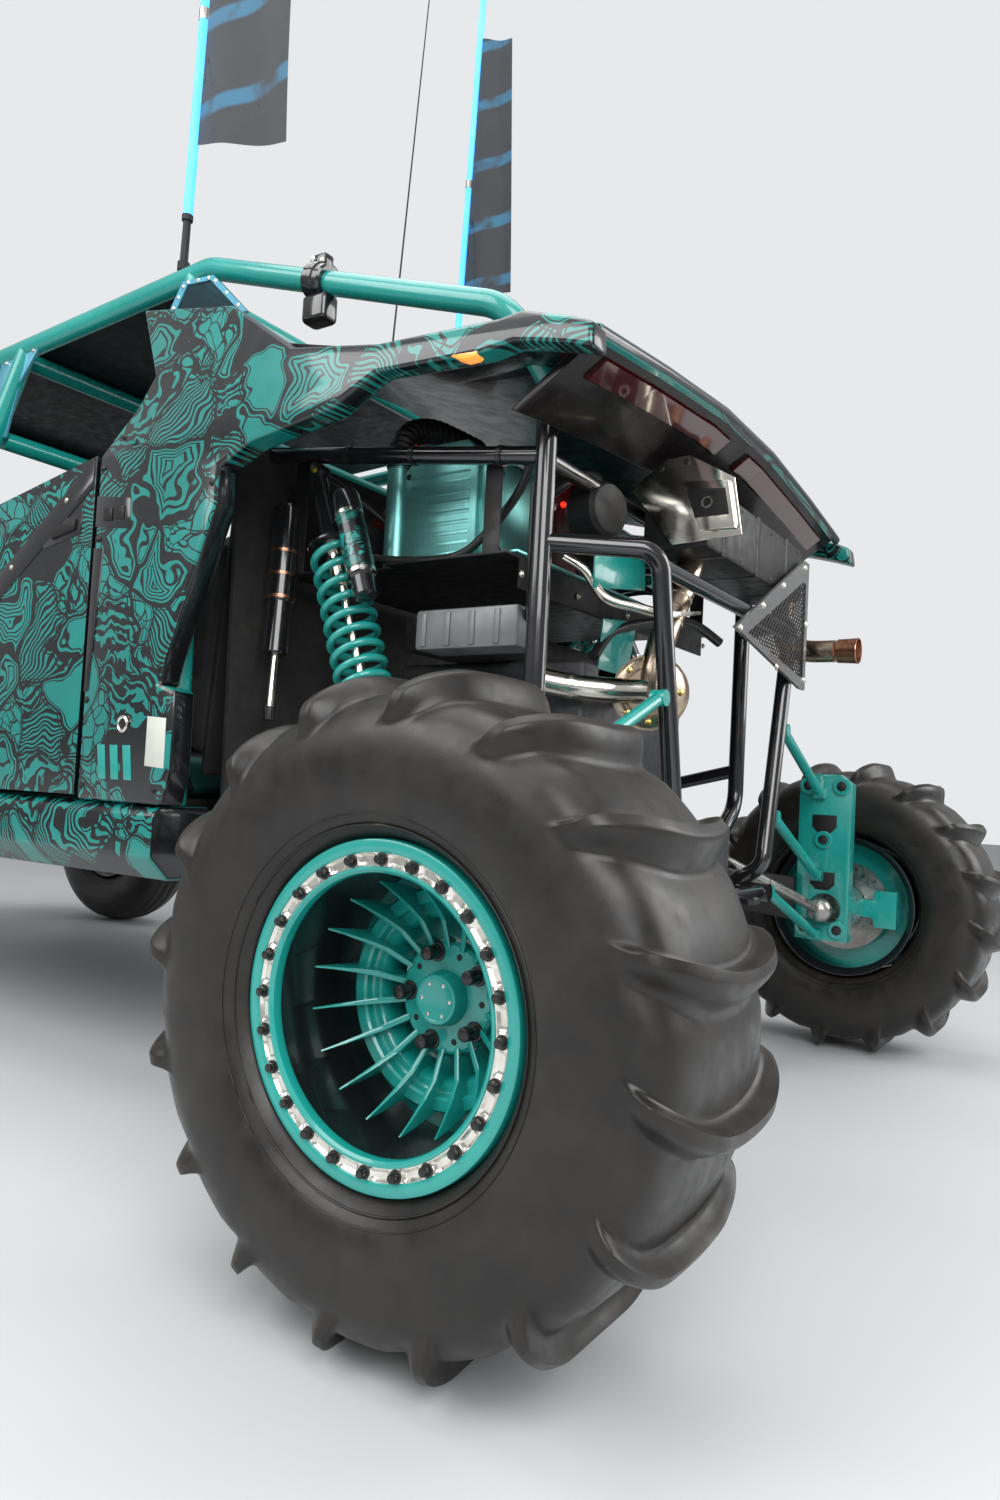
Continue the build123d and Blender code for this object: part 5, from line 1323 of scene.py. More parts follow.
@dataclass
class Exhaust:
    """Turbine outlet with its clamped flange, pipe, flat muffler and copper tip."""

    low: float = 1235.0
    top: float = 1375.0

    def build(self) -> None:
        """Makes the exhaust and its polished shield."""
        shape = Shape().paint(Look.BLACK_SATIN)
        outline = [(-430, self.low), (195, self.low), (195, self.top), (-430, self.top), (-459, 1350),
                   (-459, 1260)]
        shape.cross_plate(outline, 10, 160, 9)
        for y in (-330, -120, 90):
            shape.block(at(8.6, y, self.low - 1.2), at(161.4, y + 26, self.top + 1.2), 3)
        shape.paint(Look.STAINLESS)
        shape.pipe([(249, 120, 940), (190, 120, 940), (135, 150, 937), (112, 205, 940), (107, 212, 985),
                    (105, 180, 1060), (99, 110, 1170), (95, 70, 1250)], 29.5, 28, 10)
        shape.pipe([(85, -440, 1305), (85, -500, 1303), (85, -526, 1280), (85, -530, 1210), (70, -530, 1150),
                    (20, -530, 1126), (-60, -530, 1122)], 29.0, 28, 10)
        way = Vector((-0.32, 0.95, 0))
        flange = at(118, 206, 930)
        shape.lathe([(0, 30), (0, 62), (2, 70), (6, 77), (11, 77), (15, 70), (16, 54), (22, 50), (22, 30)],
                    flange, way, 64)
        shape.lathe([(3, 76), (3, 81), (12, 81), (12, 76)], flange, way, 64)
        for share in (0.25, 0.5, 0.75):
            shape.lathe([(-2, 29), (0, 31.5), (2, 29)], at(105, 180, 1060).lerp(at(99, 110, 1170), share),
                        Vector((-6, -70, 110)), 32)
        shape.paint(Look.COPPER)
        shape.lathe([(0, 29.6), (2, 31), (48, 33), (52, 34), (54, 33), (54, 30.5), (4, 27)],
                    at(-66, -530, 1122), Vector((-1, 0, -0.02)), 48)
        shape.paint(Look.GOLD)
        side = way.cross(Vector((0, 0, 1))).normalized()
        for step in range(8):
            turn = step * pi / 4
            out = side * cos(turn) + Vector((0, 0, 1)) * sin(turn)
            spot = flange + way * 15 * MM + out * 64 * MM
            shape.bolt(spot, way, 5.0, 5.0)
        shape.paint(Look.POLISHED)
        shape.pipe([(330, 345, 948), (262, 296, 936), (190, 246, 932), (112, 224, 931)], 27.0, 28, 8)
        shape.pipe([(235, 392, 1188), (196, 374, 1160), (160, 352, 1108), (100, 315, 1089), (52, 298, 1076)],
                   10.5, 18, 8)
        shape.paint(Look.MACHINED)
        shape.cross_plate([(326, 1062), (140, 1104), (140, 1112), (326, 1076)], 40, 62, 1.0)
        shape.lathe([(-5, 27), (-5, 30), (5, 30), (5, 27)], at(262, 296, 936), Vector((-72, -50, -4)), 32)
        shape.paint(Look.BLACK_BOLT)
        for y in (-400, -300, -200, -100, 0, 100):
            for z in (self.low + 14, self.top - 14):
                shape.bolt(at(10, y, z), Vector((-1, 0, 0)), 3.4, 2.6)
        shape.finish("exhaust_detail", "chassis", "exhaust", ["exhaust"])
        shield = Shape().paint(Look.POLISHED)
        shield.side_plate([(186, 1372), (160, 1396), (110, 1430), (56, 1433), (-45, 1372), (-65, 1252),
                           (87, 1244)],
                          196.3, 200.3, 1.2)
        shield.side_plate([(62, 1372), (-40, 1362), (-58, 1262), (16, 1262)], 199, 221, 2.0)
        shield.paint(Look.BLACK_SATIN)
        shield.side_plate([(52, 1352), (-34, 1346), (-44, 1290), (30, 1290)], 219, 221.6, 1.0)
        shield.paint(Look.MACHINED)
        shield.lathe([(0, 9), (0, 12), (2.5, 12), (2.5, 9)], at(4, 221, 1320), Vector((0, 1, 0)), 32)
        shield.paint(Look.BLACK_BOLT)
        for x, z in ((120, 1412), (96, 1262), (-52, 1268), (62, 1418)):
            shield.bolt(at(x, 200.3, z), Vector((0, 1, 0)), 4.5, 3.5)
        shield.finish("shield_detail", "chassis", "shield", ["heat_shield"])


def build_corners() -> None:
    """Builds the bosses, plates and bolts of the rear knuckles, and the dark struts ahead of the shocks."""
    for hand, side in SIDES:
        inner = side * 735.0
        out = Vector((0, -side, 0))
        shape = Shape()
        for x, z in ((-38, 772), (54, 772), (-38, 372), (54, 372), (8, 620)):
            shape.paint(Look.TEAL_PAINT)
            shape.lathe([(-3, 0), (-3, 25), (7, 25), (9.5, 22), (9.5, 0)], at(x, inner, z), out, 36)
            shape.paint(Look.BLACK_BOLT)
            shape.bolt(at(x, inner - side * 9.5, z), out, 10.0, 7.0)
        shape.paint(Look.BLACK_SATIN)
        for z in (690, 530):
            shape.side_plate([(-26, z), (42, z), (42, z - 34), (26, z - 50), (-10, z - 50), (-26, z - 34)],
                             inner + side * 0.5, inner - side * 1.4, 0.6)
        shape.finish(f"knuckle_detail_{hand}", "chassis", "knuckle")
        top, low = at(900, side * 520, 1335), at(878, side * 556, 985)
        way = (top - low).normalized()
        strut = Shape().paint(Look.BLACK_GLOSS)
        strut.lathe([(0, 0), (0, 24), (4, 29), (120, 29), (124, 33), (340, 33), (350, 26), (350, 0)], low,
                    way, 36)
        strut.lathe([(-150, 0), (-150, 15), (-120, 17), (-118, 0)], low, way, 24)
        strut.paint(Look.POLISHED)
        strut.drum(low - way * 0.125, low + way * 0.01, 8.0, sides=24)
        strut.paint(Look.COPPER)
        for height in (126, 180, 234):
            strut.lathe([(height, 32.5), (height, 34.2), (height + 7, 34.2), (height + 7, 32.5)], low, way,
                        36)
        strut.finish(f"bay_strut_{hand}", "chassis", "damper")


def build_guard() -> None:
    """Builds the rear guard: a bolted frame round a perforated screen."""
    rear = box_centre("rear_guard").x
    shape = Shape().paint(Look.CARBON)
    outer = [(60, 1090), (-410, 1340), (-450, 1340), (-450, 1010), (-410, 1010)]
    inner = [(-18, 1090), (-402, 1282), (-428, 1282), (-428, 1040), (-400, 1040)]
    x = (rear - REAR_X) / MM
    shape.frame_plates(outer, inner, x - 4, x + 4, across=True)
    shape.paint(Look.BLACK_SATIN)
    slope = Vector((0, 192, 384)).normalized()
    foot = Vector((0, 50, -382)).normalized()
    cuts = [(at(0, -18, 1092), slope), (at(0, -18, 1088), foot)]
    shape.lattice(at(x, -225, 1162), Vector((0, 420, 0)) * MM, Vector((0, 0, 250)) * MM, 12.0, 2.1, 2.0, cuts)
    shape.paint(Look.MACHINED)
    for y, z in ((30, 1092), (-110, 1168), (-250, 1243), (-415, 1322), (-438, 1180), (-438, 1035),
                 (-220, 1040)):
        shape.bolt(at(x - 4, y, z), Vector((-1, 0, 0)), 6.5, 5.0)
    shape.finish("guard_detail", "chassis", "carbon", ["rear_guard"])


# Tail, windows and whips
@dataclass
class TailTrim:
    """Edges of the tail: printed lip, window frames and rail clamps."""

    def build(self) -> None:
        """Makes the trim."""
        crown = ((720, -33.0), (450, 0.0), (150, 28.0), (-150, 28.0), (-450, 0.0), (-720, -33.0))
        lip = Shape().paint(Look.WRAP)

        def fold(u: float, v: float) -> Vector:
            """Printed band that wraps the lip of the tail."""
            share = u * 5
            index = min(int(share), 4)
            (y0, z0), (y1, z1) = crown[index], crown[index + 1]
            part = share - index
            y, rise = y0 + (y1 - y0) * part, z0 + (z1 - z0) * part
            run = ((120, 1517.6), (60, 1515.6), (8, 1514.2), (-3, 1511), (-7, 1503), (-3, 1494), (6, 1489))
            place = v * 6
            step = min(int(place), 5)
            (x0, h0), (x1, h1) = run[step], run[step + 1]
            return at(x0 + (x1 - x0) * (place - step), y, h0 + (h1 - h0) * (place - step) + rise)

        lip.sheet(60, 24, fold)
        bmesh.ops.recalc_face_normals(lip.bm, faces=lip.bm.faces[:])
        bmesh.ops.solidify(lip.bm, geom=lip.bm.faces[:], thickness=2.0 * MM)
        lip.mark()
        lip.finish("tail_lip", "chassis", "wrap", angle=60.0)
        self.windows()
        self.rail_clamps()

    def windows(self) -> None:
        """Bright frames with bolts round the quarter windows."""
        outline = [(1150, 1766), (1105, 1832), (1000, 1822), (880, 1712)]
        middle = Vector((sum(x for x, z in outline) / 4, 0, sum(z for x, z in outline) / 4))
        for hand, side in SIDES:
            y = abs(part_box("quarter_windows")[1].y) / MM - 5
            shape = Shape().paint(Look.FRAME_BLUE)
            inner = [(x + (middle.x - x) * 0.24, z + (middle.z - z) * 0.24) for x, z in outline]
            shape.frame_plates(outline, inner, side * (y + 3.5), side * (y + 8.5))
            shape.paint(Look.MACHINED)
            for index in range(4):
                after = (index + 1) % 4
                for share in (0.12, 0.5, 0.88):
                    x = (outline[index][0] + inner[index][0]) / 2 * (1 - share)
                    x += (outline[after][0] + inner[after][0]) / 2 * share
                    z = (outline[index][1] + inner[index][1]) / 2 * (1 - share)
                    z += (outline[after][1] + inner[after][1]) / 2 * share
                    shape.bolt(at(x, side * (y + 8.5), z), Vector((0, side, 0)), 3.6, 3.0)
            shape.finish(f"window_frame_{hand}", "chassis", "carbon")

    def rail_clamps(self) -> None:
        """Split clamps on the rear stays of the roof rails, with their bolts."""
        for hand, side in SIDES:
            shape = Shape()
            low, high = at(250, side * 620, 1612), at(RAIL_X, side * RAIL_Y, RAIL_TOP)
            way = (high - low).normalized()
            spot = low.lerp(high, 0.585)
            shape.paint(Look.BLACK_GLOSS)
            shape.lathe([(-26, 24.5), (-26, 34), (-22, 38), (-8, 38), (-6, 41), (6, 41), (8, 38), (22, 38),
                         (26, 34), (26, 24.5)], spot, way, 48)
            shape.block(spot + Vector((-22, -14, 30)) * MM, spot + Vector((22, 14, 56)) * MM, 5)
            shape.block(spot + Vector((-34, -26, -92)) * MM, spot + Vector((34, 22, -30)) * MM, 12, 3)
            shape.paint(Look.MACHINED)
            for shift in (-14, 14):
                shape.bolt(spot + way * shift * MM + Vector((0, 14 * side, 43)) * MM, Vector((0, side, 0)),
                           4.5, 4)
            shape.finish(f"rail_clamps_{hand}", "chassis", "carbon")


@dataclass(frozen=True)
class LightWhip:
    """Lit tube on a plain black foot, leaning back from the roof rail."""

    hand: str
    foot_x: float
    side: int
    ferrules: tuple[float, ...]
    # Fall of the rail for each millimetre ahead, and height of the foot over the rail's centre
    fall: float = 73.0 / 1500.0
    seat: float = 26.2

    def build(self, replaces: Sequence[str] = ()) -> None:
        """Makes the whip and says which CAD node it stands for."""
        low = RAIL_TOP - (self.foot_x - RAIL_X) * self.fall + self.seat
        way = Vector((-WHIP_LEAN, 0, 1)).normalized()
        foot = at(self.foot_x - WHIP_LEAN * self.seat, self.side * RAIL_Y, low)
        shape = Shape().paint(Look.BLACK_SATIN)
        shape.lathe([(0, 0), (0, 13.5), (3, 14), (20, 14), (24, 9.5), (118, 9.0), (121, 13), (134, 13),
                     (134, 0)],
                    foot, way, 28)
        shape.paint(Look.LED_TUBE)
        shape.lathe([(131, 0), (131, 11.8), (1780, 11.8), (1786, 9), (1786, 0)], foot, way, 28)
        shape.paint(Look.MACHINED)
        for height in self.ferrules:
            shape.lathe([(-14, 11), (-14, 13.0), (14, 13.0), (14, 11)], foot + way * height * MM, way, 28)
        shape.paint(Look.BLACK_SATIN)
        shape.lathe([(1782, 0), (1782, 12.8), (1822, 12.8), (1828, 9), (1828, 0)], foot, way, 28)
        shape.finish(f"light_whip_{self.hand}", "chassis", "whip", replaces)


def build_whips() -> None:
    """Builds the light whips, the radio whip and the flags."""
    LightWhip("left", 1168.0, 1, (620.0,)).build(["whips"])
    LightWhip("right", 1348.0, -1, (565.0, 980.0)).build()
    shape = Shape().paint(Look.BLACK_SATIN)
    foot, way = at(1180, -115, 1893.2), Vector((-0.062, 0, 1)).normalized()
    shape.lathe([(0, 0), (0, 4), (60, 4), (66, 3), (1290, 1.6), (1298, 1.2), (1298, 0)], foot, way, 12)
    shape.lathe([(2, 4), (2, 9), (26, 11), (30, 8), (30, 4)], foot, way, 24)
    shape.finish("radio_whip", "chassis", "whip")
    # Hand, foot of the whip, side, heights up the hoist, far corners above and below, waves
    rows = (
        ("left", 1168.0, 1, (2195.0, 2700.0), ((855.0, 2625.0), (838.0, 2100.0)), 2.2),
        ("right", 1348.0, -1, (2465.0, 3400.0), ((1165.0, 3345.0), (1125.0, 2432.0)), 1.6),
    )
    for hand, foot_x, side, (low, top), (fly_top, fly_low), waves in rows:
        def cloth(u: float, v: float) -> Vector:
            """Waved cloth, from the hoist to the free edge."""
            hoist_z = low + (top - low) * v
            hoist_x = foot_x - WHIP_LEAN * (hoist_z - low + 300) - 15
            free = Vector(fly_low).lerp(Vector(fly_top), v)
            bow = 9.0 * sin(u * waves * pi + v * 2.1) * min(u * 3.0, 1.0)
            return at(hoist_x + (free.x - hoist_x) * u, side * RAIL_Y + bow, hoist_z + (free.y - hoist_z) * u)

        flag = Shape().paint(Look.BANNER)
        flag.sheet(40, 90, cloth)
        bmesh.ops.solidify(flag.bm, geom=flag.bm.faces[:], thickness=0.9 * MM)
        flag.mark()
        piece = flag.finish(f"flag_{hand}", "chassis", "flag", ["flags"] if side > 0 else [], 80.0)


# Doors and the panels behind them
@dataclass(frozen=True)
class DoorTrim:
    """Black crease, handle and edge bolts of one door."""

    row: str
    hand: str
    side: int
    crease: tuple[Flat, ...]
    handle: Flat

    def build(self) -> None:
        """Makes the trim, on the door's own body."""
        face = self.side * BODY_HALF
        out = Vector((0, self.side, 0))
        shape = Shape().paint(Look.BLACK_GLOSS)
        shape.side_plate(self.crease, face - self.side, face + self.side * 2.2, 1.0)
        x, z = self.handle
        recess = [(x, z), (x + 150, z - 24), (x + 146, z - 74), (x + 4, z - 52)]
        shape.side_plate(recess, face - self.side, face + self.side * 2.0, 0.8)
        shape.paint(Look.BLACK_SATIN)
        paddle = [(x + 18, z - 16), (x + 112, z - 30), (x + 110, z - 56), (x + 20, z - 42)]
        shape.side_plate(paddle, face, face + self.side * 9.0, 3.0)
        shape.paint(Look.MACHINED)
        for share in (0.12, 0.38, 0.62, 0.88):
            near, far = self.crease[0], self.crease[1]
            spot = at(near[0] + (far[0] - near[0]) * share, face + self.side * 2.2,
                      near[1] + (far[1] - near[1]) * share - 22)
            shape.bolt(spot, out, 5.0, 3.4)
        shape.finish(f"door_trim_{self.row}_{self.hand}", f"door_{self.row}_{self.hand}", "wrap")


@dataclass(frozen=True)
class QuarterTrim:
    """Latch plate, ring, blank sticker and bars on a rear quarter panel, and the marker under its wing."""

    hand: str
    side: int

    def build(self) -> None:
        """Makes the trim."""
        face, side = self.side * BODY_HALF, self.side
        out = Vector((0, side, 0))
        shape = Shape().paint(Look.BLACK_GLOSS)
        shape.side_plate([(1212, 1318), (1092, 1300), (1086, 1232), (1212, 1248)], face - side,
                         face + side * 1.6, 0.7)
        shape.side_plate([(1212, 1200), (1176, 1196), (1196, 880), (1212, 876)], face - side,
                         face + side * 1.4, 0.6)
        shape.paint(Look.BLACK_SATIN)
        for x in (1108, 1150):
            shape.side_plate([(x, 1284), (x + 30, 1288), (x + 30, 1258), (x, 1254)], face, face + side * 5.0,
                             2.0)
        shape.paint(Look.MACHINED)
        shape.lathe([(-1, 11), (-1, 16), (2, 18.5), (5, 18.5), (6.5, 15), (5, 11.5)], at(1062, face, 807),
                    out, 40)
        shape.paint(Look.BLACK_SATIN)
        shape.lathe([(-1, 0), (-1, 11), (2.5, 11), (3, 0)], at(1062, face, 807), out, 32)
        shape.paint(Look.STICKER)
        shape.side_plate([(984, 824), (924, 820), (922, 716), (984, 720)], face - side * 0.5,
                         face + side * 0.7, 0.2)
        shape.paint(Look.TEAL_PAINT)
        for step in range(3):
            x = 1150 - step * 44
            shape.side_plate([(x, 762), (x - 26, 762), (x - 38, 688), (x - 12, 688)], face - side * 0.5,
                             face + side * 0.9, 0.2)
        shape.paint(Look.BLACK_BOLT)
        for x, z in ((1200, 1380), (1200, 1220), (1200, 860), (1200, 670), (950, 670), (1130, 1440),
                     (830, 1300)):
            shape.bolt(at(x, face, z), out, 6.0, 4.0)
        shape.finish(f"quarter_trim_{self.hand}", "chassis", "wrap")
        marker = Shape().paint(Look.AMBER_GLOW)
        marker.side_plate([(186, 1447), (252, 1454), (246, 1446), (222, 1436), (200, 1436)], side * 764,
                          side * 790, 2.0)
        marker.finish(f"side_marker_{self.hand}", "chassis", "lamp_amber",
                      ["side_markers"] if side > 0 else [])


@dataclass(frozen=True)
class PillarPlate:
    """Flat gusset at the top of a middle pillar."""

    hand: str
    side: int

    def build(self) -> None:
        """Makes the plate with its bolts."""
        low, high = self.side * 655.0, self.side * 663.0
        outline = [(1718, 1836), (1905, 1826), (1938, 1650), (1902, 1596), (1862, 1600), (1812, 1742)]
        shape = Shape().paint(Look.FRAME_BLUE)
        shape.side_plate(outline, low, high, 1.5)
        shape.paint(Look.MACHINED)
        for x, z in ((1752, 1818), (1880, 1808), (1908, 1668), (1884, 1622)):
            shape.bolt(at(x, high, z), Vector((0, self.side, 0)), 5.0, 4.0)
        shape.finish(f"pillar_plate_{self.hand}", "chassis", "frame")


def build_side_trim() -> None:
    """Builds the trim of the doors, the quarter panels and the pillars."""
    rear = ((1232.0, 1408.0), (2034.0, 874.0), (2034.0, 806.0), (1232.0, 1340.0))
    front = ((2068.0, 852.0), (2878.0, 742.0), (2878.0, 706.0), (2068.0, 786.0))
    for hand, side in SIDES:
        DoorTrim("rear", hand, side, rear, (1262.0, 1290.0)).build()
        DoorTrim("front", hand, side, front, (2090.0, 1220.0)).build()
        QuarterTrim(hand, side).build()
        PillarPlate(hand, side).build()


# Cab
@dataclass
class SeatSet:
    """Four bucket seats: hard shells, and pads swollen by a cloth simulation once and then copied."""

    rows: tuple[float, ...] = (1990.0, 1120.0)
    sides: tuple[float, ...] = (370.0, -370.0)
    voxel: float = 7.0
    pressure: float = 4.0
    reach: float = 11.0
    # Start blocks: outline as places ahead of the seat's datum and heights over the floor, and the two sides
    bottom: tuple[Block, ...] = (
        (((64, 140), (496, 158), (500, 236), (126, 212)), -158.0, 158.0),
        (((60, 140), (500, 158), (506, 268), (176, 272)), 156.0, 226.0),
        (((60, 140), (500, 158), (506, 268), (176, 272)), -226.0, -156.0),
    )
    back: tuple[Block, ...] = (
        (((-50, 232), (112, 232), (2, 780), (-98, 770)), -158.0, 158.0),
        (((-92, 765), (6, 772), (-24, 905), (-118, 893)), -128.0, 128.0),
        (((-46, 232), (164, 292), (70, 720), (-84, 735)), 154.0, 226.0),
        (((-46, 232), (164, 292), (70, 720), (-84, 735)), -226.0, -154.0),
    )

    def build(self) -> None:
        """Makes the shells and pads of all seats."""
        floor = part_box("cab_floor")[0].z / MM
        pads = {"cushion": self.swollen("cushion", self.bottom),
                "backrest": self.swollen("backrest", self.back)}
        for index, (row_x, y) in enumerate((x, y) for x in self.rows for y in self.sides):
            shift = at(row_x, y, floor)
            shape = Shape().paint(Look.PLASTIC)
            shape.block(at(row_x + 60, y - 180, floor + 6), at(row_x + 430, y + 180, floor + 130), 14)
            shape.side_plate([(row_x - 64, floor + 190), (row_x - 50, floor + 190),
                              (row_x - 112, floor + 910), (row_x - 128, floor + 900)], y - 215, y + 215, 5)
            shape.paint(Look.BLACK_BOLT)
            for x in (row_x + 90, row_x + 400):
                for side in (1, -1):
                    shape.bolt(at(x, y + side * 180, floor + 40), Vector((0, side, 0)), 7.0, 5.0)
            shape.paint(Look.WEBBING)
            for side in (1, -1):
                belt = [(row_x - 95, y + side * 62, floor + 772), (row_x + 4, y + side * 66, floor + 788),
                        (row_x + 30, y + side * 70, floor + 700), (row_x + 70, y + side * 66, floor + 520),
                        (row_x + 128, y + side * 40, floor + 300)]
                shape.sweep(smooth_line([at(*point) for point in belt], 8), 24.0, 10, flat=0.11)
            shape.finish(f"seat_shell_{index}", "chassis", "seat", ["seats"])
            for part, mesh in pads.items():
                copy = mesh.copy()
                copy.transform(Matrix.Translation(shift - Vector((REAR_X, 0, 0))))
                pad = bpy.data.objects.new(f"seat_{part}_{index}", copy)
                bpy.context.scene.collection.objects.link(pad)
                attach(pad, "chassis")
                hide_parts("seats")
                LOG.info("%s: %d faces", pad.name, len(copy.polygons))

    def swollen(self, part: str, blocks: Sequence[tuple[Sequence[Flat], float, float]]) -> bpy.types.Mesh:
        """Pad of a seat, swollen from its start blocks.

        Args:
            part: Name of the pad.
            blocks: Side outline, low and high side of each block.

        Returns:
            The pad's mesh, its datum at the rear axle on the floor.
        """
        shape = Shape().paint(Look.SEAT_COVER)
        for outline, low, high in blocks:
            shape.side_plate(outline, low, high, 16.0)
        shape.bm.faces.layers.int.remove(shape.layer)
        start = bpy.data.meshes.new(part)
        shape.bm.to_mesh(start)
        shape.bm.free()
        scene = bpy.context.scene
        piece = bpy.data.objects.new(part + "_work", start)
        scene.collection.objects.link(piece)
        remesh = piece.modifiers.new("remesh", "REMESH")
        remesh.mode = "VOXEL"
        remesh.voxel_size = self.voxel * MM
        mesh = self.evaluated(piece)
        piece.modifiers.clear()
        piece.data = mesh
        rest = [vert.co.copy() for vert in mesh.vertices]
        cloth = piece.modifiers.new("cloth", "CLOTH")
        cloth.settings.use_pressure = True
        cloth.settings.uniform_pressure_force = self.pressure
        cloth.settings.effector_weights.gravity = 0.0
        cloth.point_cache.frame_end = 20
        for step in range(1, 21):
            scene.frame_set(step)
        moved = self.evaluated(piece)
        piece.modifiers.clear()
        for vert, place, far in zip(mesh.vertices, rest, moved.vertices):
            move = far.co - place
            vert.co = place + move * min(1.0, self.reach * MM / max(move.length, 1e-9))
        scene.frame_set(1)
        self.sew(mesh)
        mesh.materials.clear()
        for look in (Look.SEAT_COVER, Look.SEAT_PANEL):
            mesh.materials.append(material(look))
        for face in mesh.polygons:
            face.material_index = int(abs(face.center.y) < 0.118)
        mesh.shade_smooth()
        bpy.data.objects.remove(piece)
        return mesh

    def evaluated(self, piece: bpy.types.Object) -> bpy.types.Mesh:
        """Mesh of an object with its modifiers applied."""
        graph = bpy.context.evaluated_depsgraph_get()
        return bpy.data.meshes.new_from_object(piece.evaluated_get(graph))

    def sew(self, mesh: bpy.types.Mesh) -> None:
        """Presses the seams and channels into a pad."""
        normals = [vert.normal.copy() for vert in mesh.vertices]
        for vert, normal in zip(mesh.vertices, normals):
            run = (vert.co.x - REAR_X) / MM * 0.97 - vert.co.z / MM * 0.24
            side = abs(vert.co.y) / MM
            inside = 1.0 - ease(side, 104.0, 120.0)
            channel = exp(-(((run / 62.0) % 1.0 - 0.5) * 62.0 / 5.0) ** 2) * inside
            seam = exp(-((side - 118.0) / 5.0) ** 2) + exp(-((side - 156.0) / 7.0) ** 2)
            vert.co -= normal * (3.2 * channel + 3.0 * seam) * MM


def build_dash() -> None:
    """Builds the dash's screens, vents, grab bar, switches and steering wheel boss."""
    shape = Shape().paint(Look.SCREEN)
    shape.block(at(2700, 300, 1050), at(2709, 440, 1118), 3)
    shape.block(at(2700, -90, 1045), at(2709, 90, 1122), 3)
    shape.paint(Look.PLASTIC)
    for y in (-480, -250, 210, 520):
        shape.lathe([(-2, 20), (-2, 30), (9, 30), (12, 27), (12, 21), (9, 20)], at(2712, y, 1085),
                    Vector((-1, 0, 0.2)), 32)
        shape.block(at(2702, y - 20, 1082), at(2709, y + 20, 1086), 0.8)
    shape.paint(Look.BLACK_SATIN)
    shape.pipe([(2712, -520, 1040), (2665, -515, 1052), (2652, -450, 1058), (2652, -300, 1058),
                (2665, -235, 1052), (2712, -230, 1040)], 13.0, 16, 6)
    for step in range(7):
        y = 130 - step * 38
        shape.block(at(2706, y - 13, 1008), at(2722, y + 13, 1032), 2.5)
    shape.finish("dash_detail", "chassis", "plastic")
    hub, way = at(2560, 370, 1110), Vector((400, 0, -145)).normalized()
    boss = Shape().paint(Look.CARBON)
    boss.lathe([(-16, 0), (-16, 24), (-12, 33), (2, 36), (2, 0)], hub, way, 40)
    boss.paint(Look.TEAL_PAINT)
    boss.lathe([(-17.5, 0), (-17.5, 9), (-15, 11), (-15, 0)], hub, way, 24)
    boss.paint(Look.BLACK_BOLT)
    side = way.cross(Vector((0, 1, 0)))
    for step in range(6):
        turn = step * pi / 3
        boss.bolt(hub + (Vector((0, 1, 0)) * cos(turn) + side * sin(turn)) * 24 * MM - way * 13 * MM, -way,
                  2.6, 2.2)
    boss.finish("wheel_boss", "steering_wheel", "plastic")


def build_nose() -> None:
    """Builds the lamp strips, grille mesh, hood louvres, hood latches and wing bolts."""
    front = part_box("head_lamps")
    lamp_x = (front[0].x - REAR_X) / MM
    shape = Shape().paint(Look.LIGHT_BAR)
    for side in (1, -1):
        shape.pipe([(lamp_x + 13, side * 240, 826), (lamp_x + 13, side * 320, 842),
                    (lamp_x + 13, side * 396, 853)],
                   5.0, 12, 4)
    shape.paint(Look.BLACK_GLOSS)
    for side in (1, -1):
        rim = [(214, 792), (408, 823), (420, 884), (236, 858)]
        inner = [(226, 804), (400, 831), (409, 872), (243, 848)]
        rows = [[(side * y, z) for y, z in outline] for outline in (rim, inner)]
        shape.frame_plates(*rows, lamp_x - 2, lamp_x + 13.6, across=True)
    shape.paint(Look.STEEL)
    shape.lattice(at(WHEELBASE + 352, 0, 776), Vector((0, 400, 0)) * MM, Vector((30, 0, 150)) * MM, 17.0, 2.4,
                  1.6)
    shape.finish("nose_detail", "chassis", "lamp_clear")
    vents = Shape().paint(Look.BLACK_SATIN)
    low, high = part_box("hood")
    rear_x, front_x = (low.x - REAR_X) / MM, (high.x - REAR_X) / MM
    drop = (1170.0 - 925.0) / (front_x - rear_x)
    for side in (1, -1):
        for step in range(6):
            x = rear_x + 190 + step * 42
            z = 1170.0 - (x - rear_x) * drop
            vents.plate([at(x, side * 70, z - 2), at(x, side * 240, z - 2),
                         at(x + 30, side * 236, z - 30 * drop - 2), at(x + 30, side * 74, z - 30 * drop - 2)],
                         Vector((drop, 0, 1)).normalized() * 9 * MM, 2.5)
    vents.paint(Look.BLACK_BOLT)
    for side in (1, -1):
        for x, y in ((rear_x + 40, 330), (front_x - 50, 215)):
            z = 1170.0 - (x - rear_x) * drop
            vents.bolt(at(x, side * y, z), Vector((drop, 0, 1)), 11.0, 5.0)
    vents.finish("hood_detail", "chassis", "wrap")


# Body panels
@dataclass(frozen=True)
class Softened:
    """CAD panel with its edges rounded and a finish of its own."""

    node: str
    look: Look
    slot: str
    width: float = 6.0
    body: str = "chassis"

    def build(self) -> None:
        """Makes the panel."""
        shape = Shape().paint(self.look)
        shape.from_node(self.node)
        shape.soften(self.width)
        shape.finish(self.node + "_skin", self.body, self.slot, [self.node], 40.0)


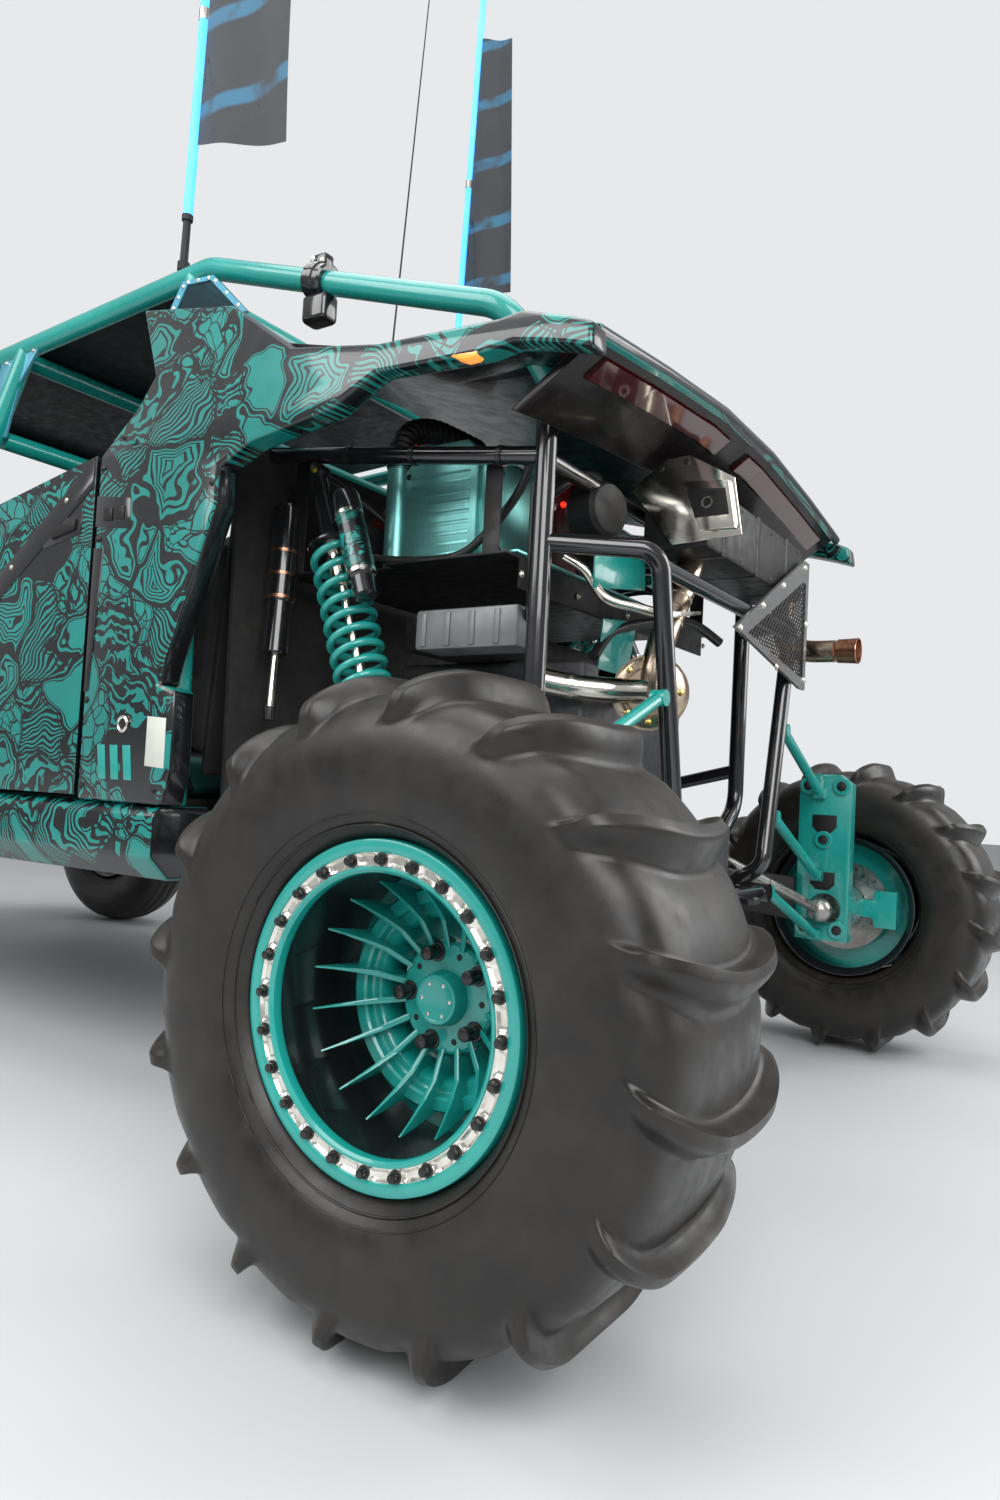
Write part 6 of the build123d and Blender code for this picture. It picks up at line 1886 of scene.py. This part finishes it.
PANELS: tuple[Softened, ...] = (
    Softened("rear_quarters", Look.WRAP, "wrap", 9.0),
    Softened("rocker_panels", Look.WRAP, "wrap", 9.0),
    Softened("door_front_left", Look.WRAP, "wrap", 7.0, "door_front_left"),
    Softened("door_front_right", Look.WRAP, "wrap", 7.0, "door_front_right"),
    Softened("door_rear_left", Look.WRAP, "wrap", 7.0, "door_rear_left"),
    Softened("door_rear_right", Look.WRAP, "wrap", 7.0, "door_rear_right"),
    Softened("hood", Look.WRAP, "wrap", 5.0),
    Softened("front_fenders", Look.WRAP, "wrap", 3.0),
    Softened("front_fascia", Look.PLASTIC, "plastic", 2.5),
    Softened("dash", Look.PLASTIC, "plastic", 9.0),
    Softened("engine_block", Look.CAST, "engine", 14.0),
    Softened("final_drives", Look.CAST, "engine", 12.0),
    Softened("tail_panel", Look.TAIL_BLACK, "deck", 2.0),
    Softened("tail_deck", Look.TAIL_BLACK, "deck", 2.0),
    Softened("bay_shelf", Look.BLACK_SATIN, "carbon", 1.5),
    Softened("trailing_arms", Look.BLACK_SATIN, "arm", 6.0),
    Softened("rear_knuckles", Look.TEAL_PAINT, "knuckle", 3.0),
)
# CAD nodes that keep their mesh, by finish
CARRIED: dict[Look, tuple[str, ...]] = {
    Look.TEAL_PAINT: ("cage_side_left", "cage_side_right", "cage_crossbars", "radius_rods"),
    Look.BLACK_GLOSS: ("bay_frame", "lower_frame", "nose_frame", "front_bumper"),
    Look.BLACK_SATIN: ("roof_panel", "door_hinges", "front_arms", "steering_wheel"),
    Look.PLASTIC: ("skid_plate", "cab_floor", "bulkheads"),
    Look.ALLOY: ("knuckle_front_left", "knuckle_front_right"),
    Look.STEEL: ("tie_rods", "steering_column", "half_shafts"),
    Look.SMOKED_RED: ("tail_lamps",),
    Look.PANE: ("quarter_windows",),
    Look.LENS: ("head_lamps",),
}


def main() -> None:
    """Builds the sub-assemblies in order."""
    logging.basicConfig(level=logging.INFO, format="%(name)s %(message)s")
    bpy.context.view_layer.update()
    studio = Studio()
    studio.camera()
    studio.floor()
    studio.lamps()
    build_wheels()
    build_shocks()
    CoolerBay().build()
    Exhaust().build()
    build_corners()
    build_guard()
    TailTrim().build()
    build_whips()
    build_side_trim()
    SeatSet().build()
    build_dash()
    build_nose()
    for panel in PANELS:
        panel.build()
    for look, nodes in CARRIED.items():
        for node in nodes:
            wear(node, look)


if __name__ == "__main__":
    main()
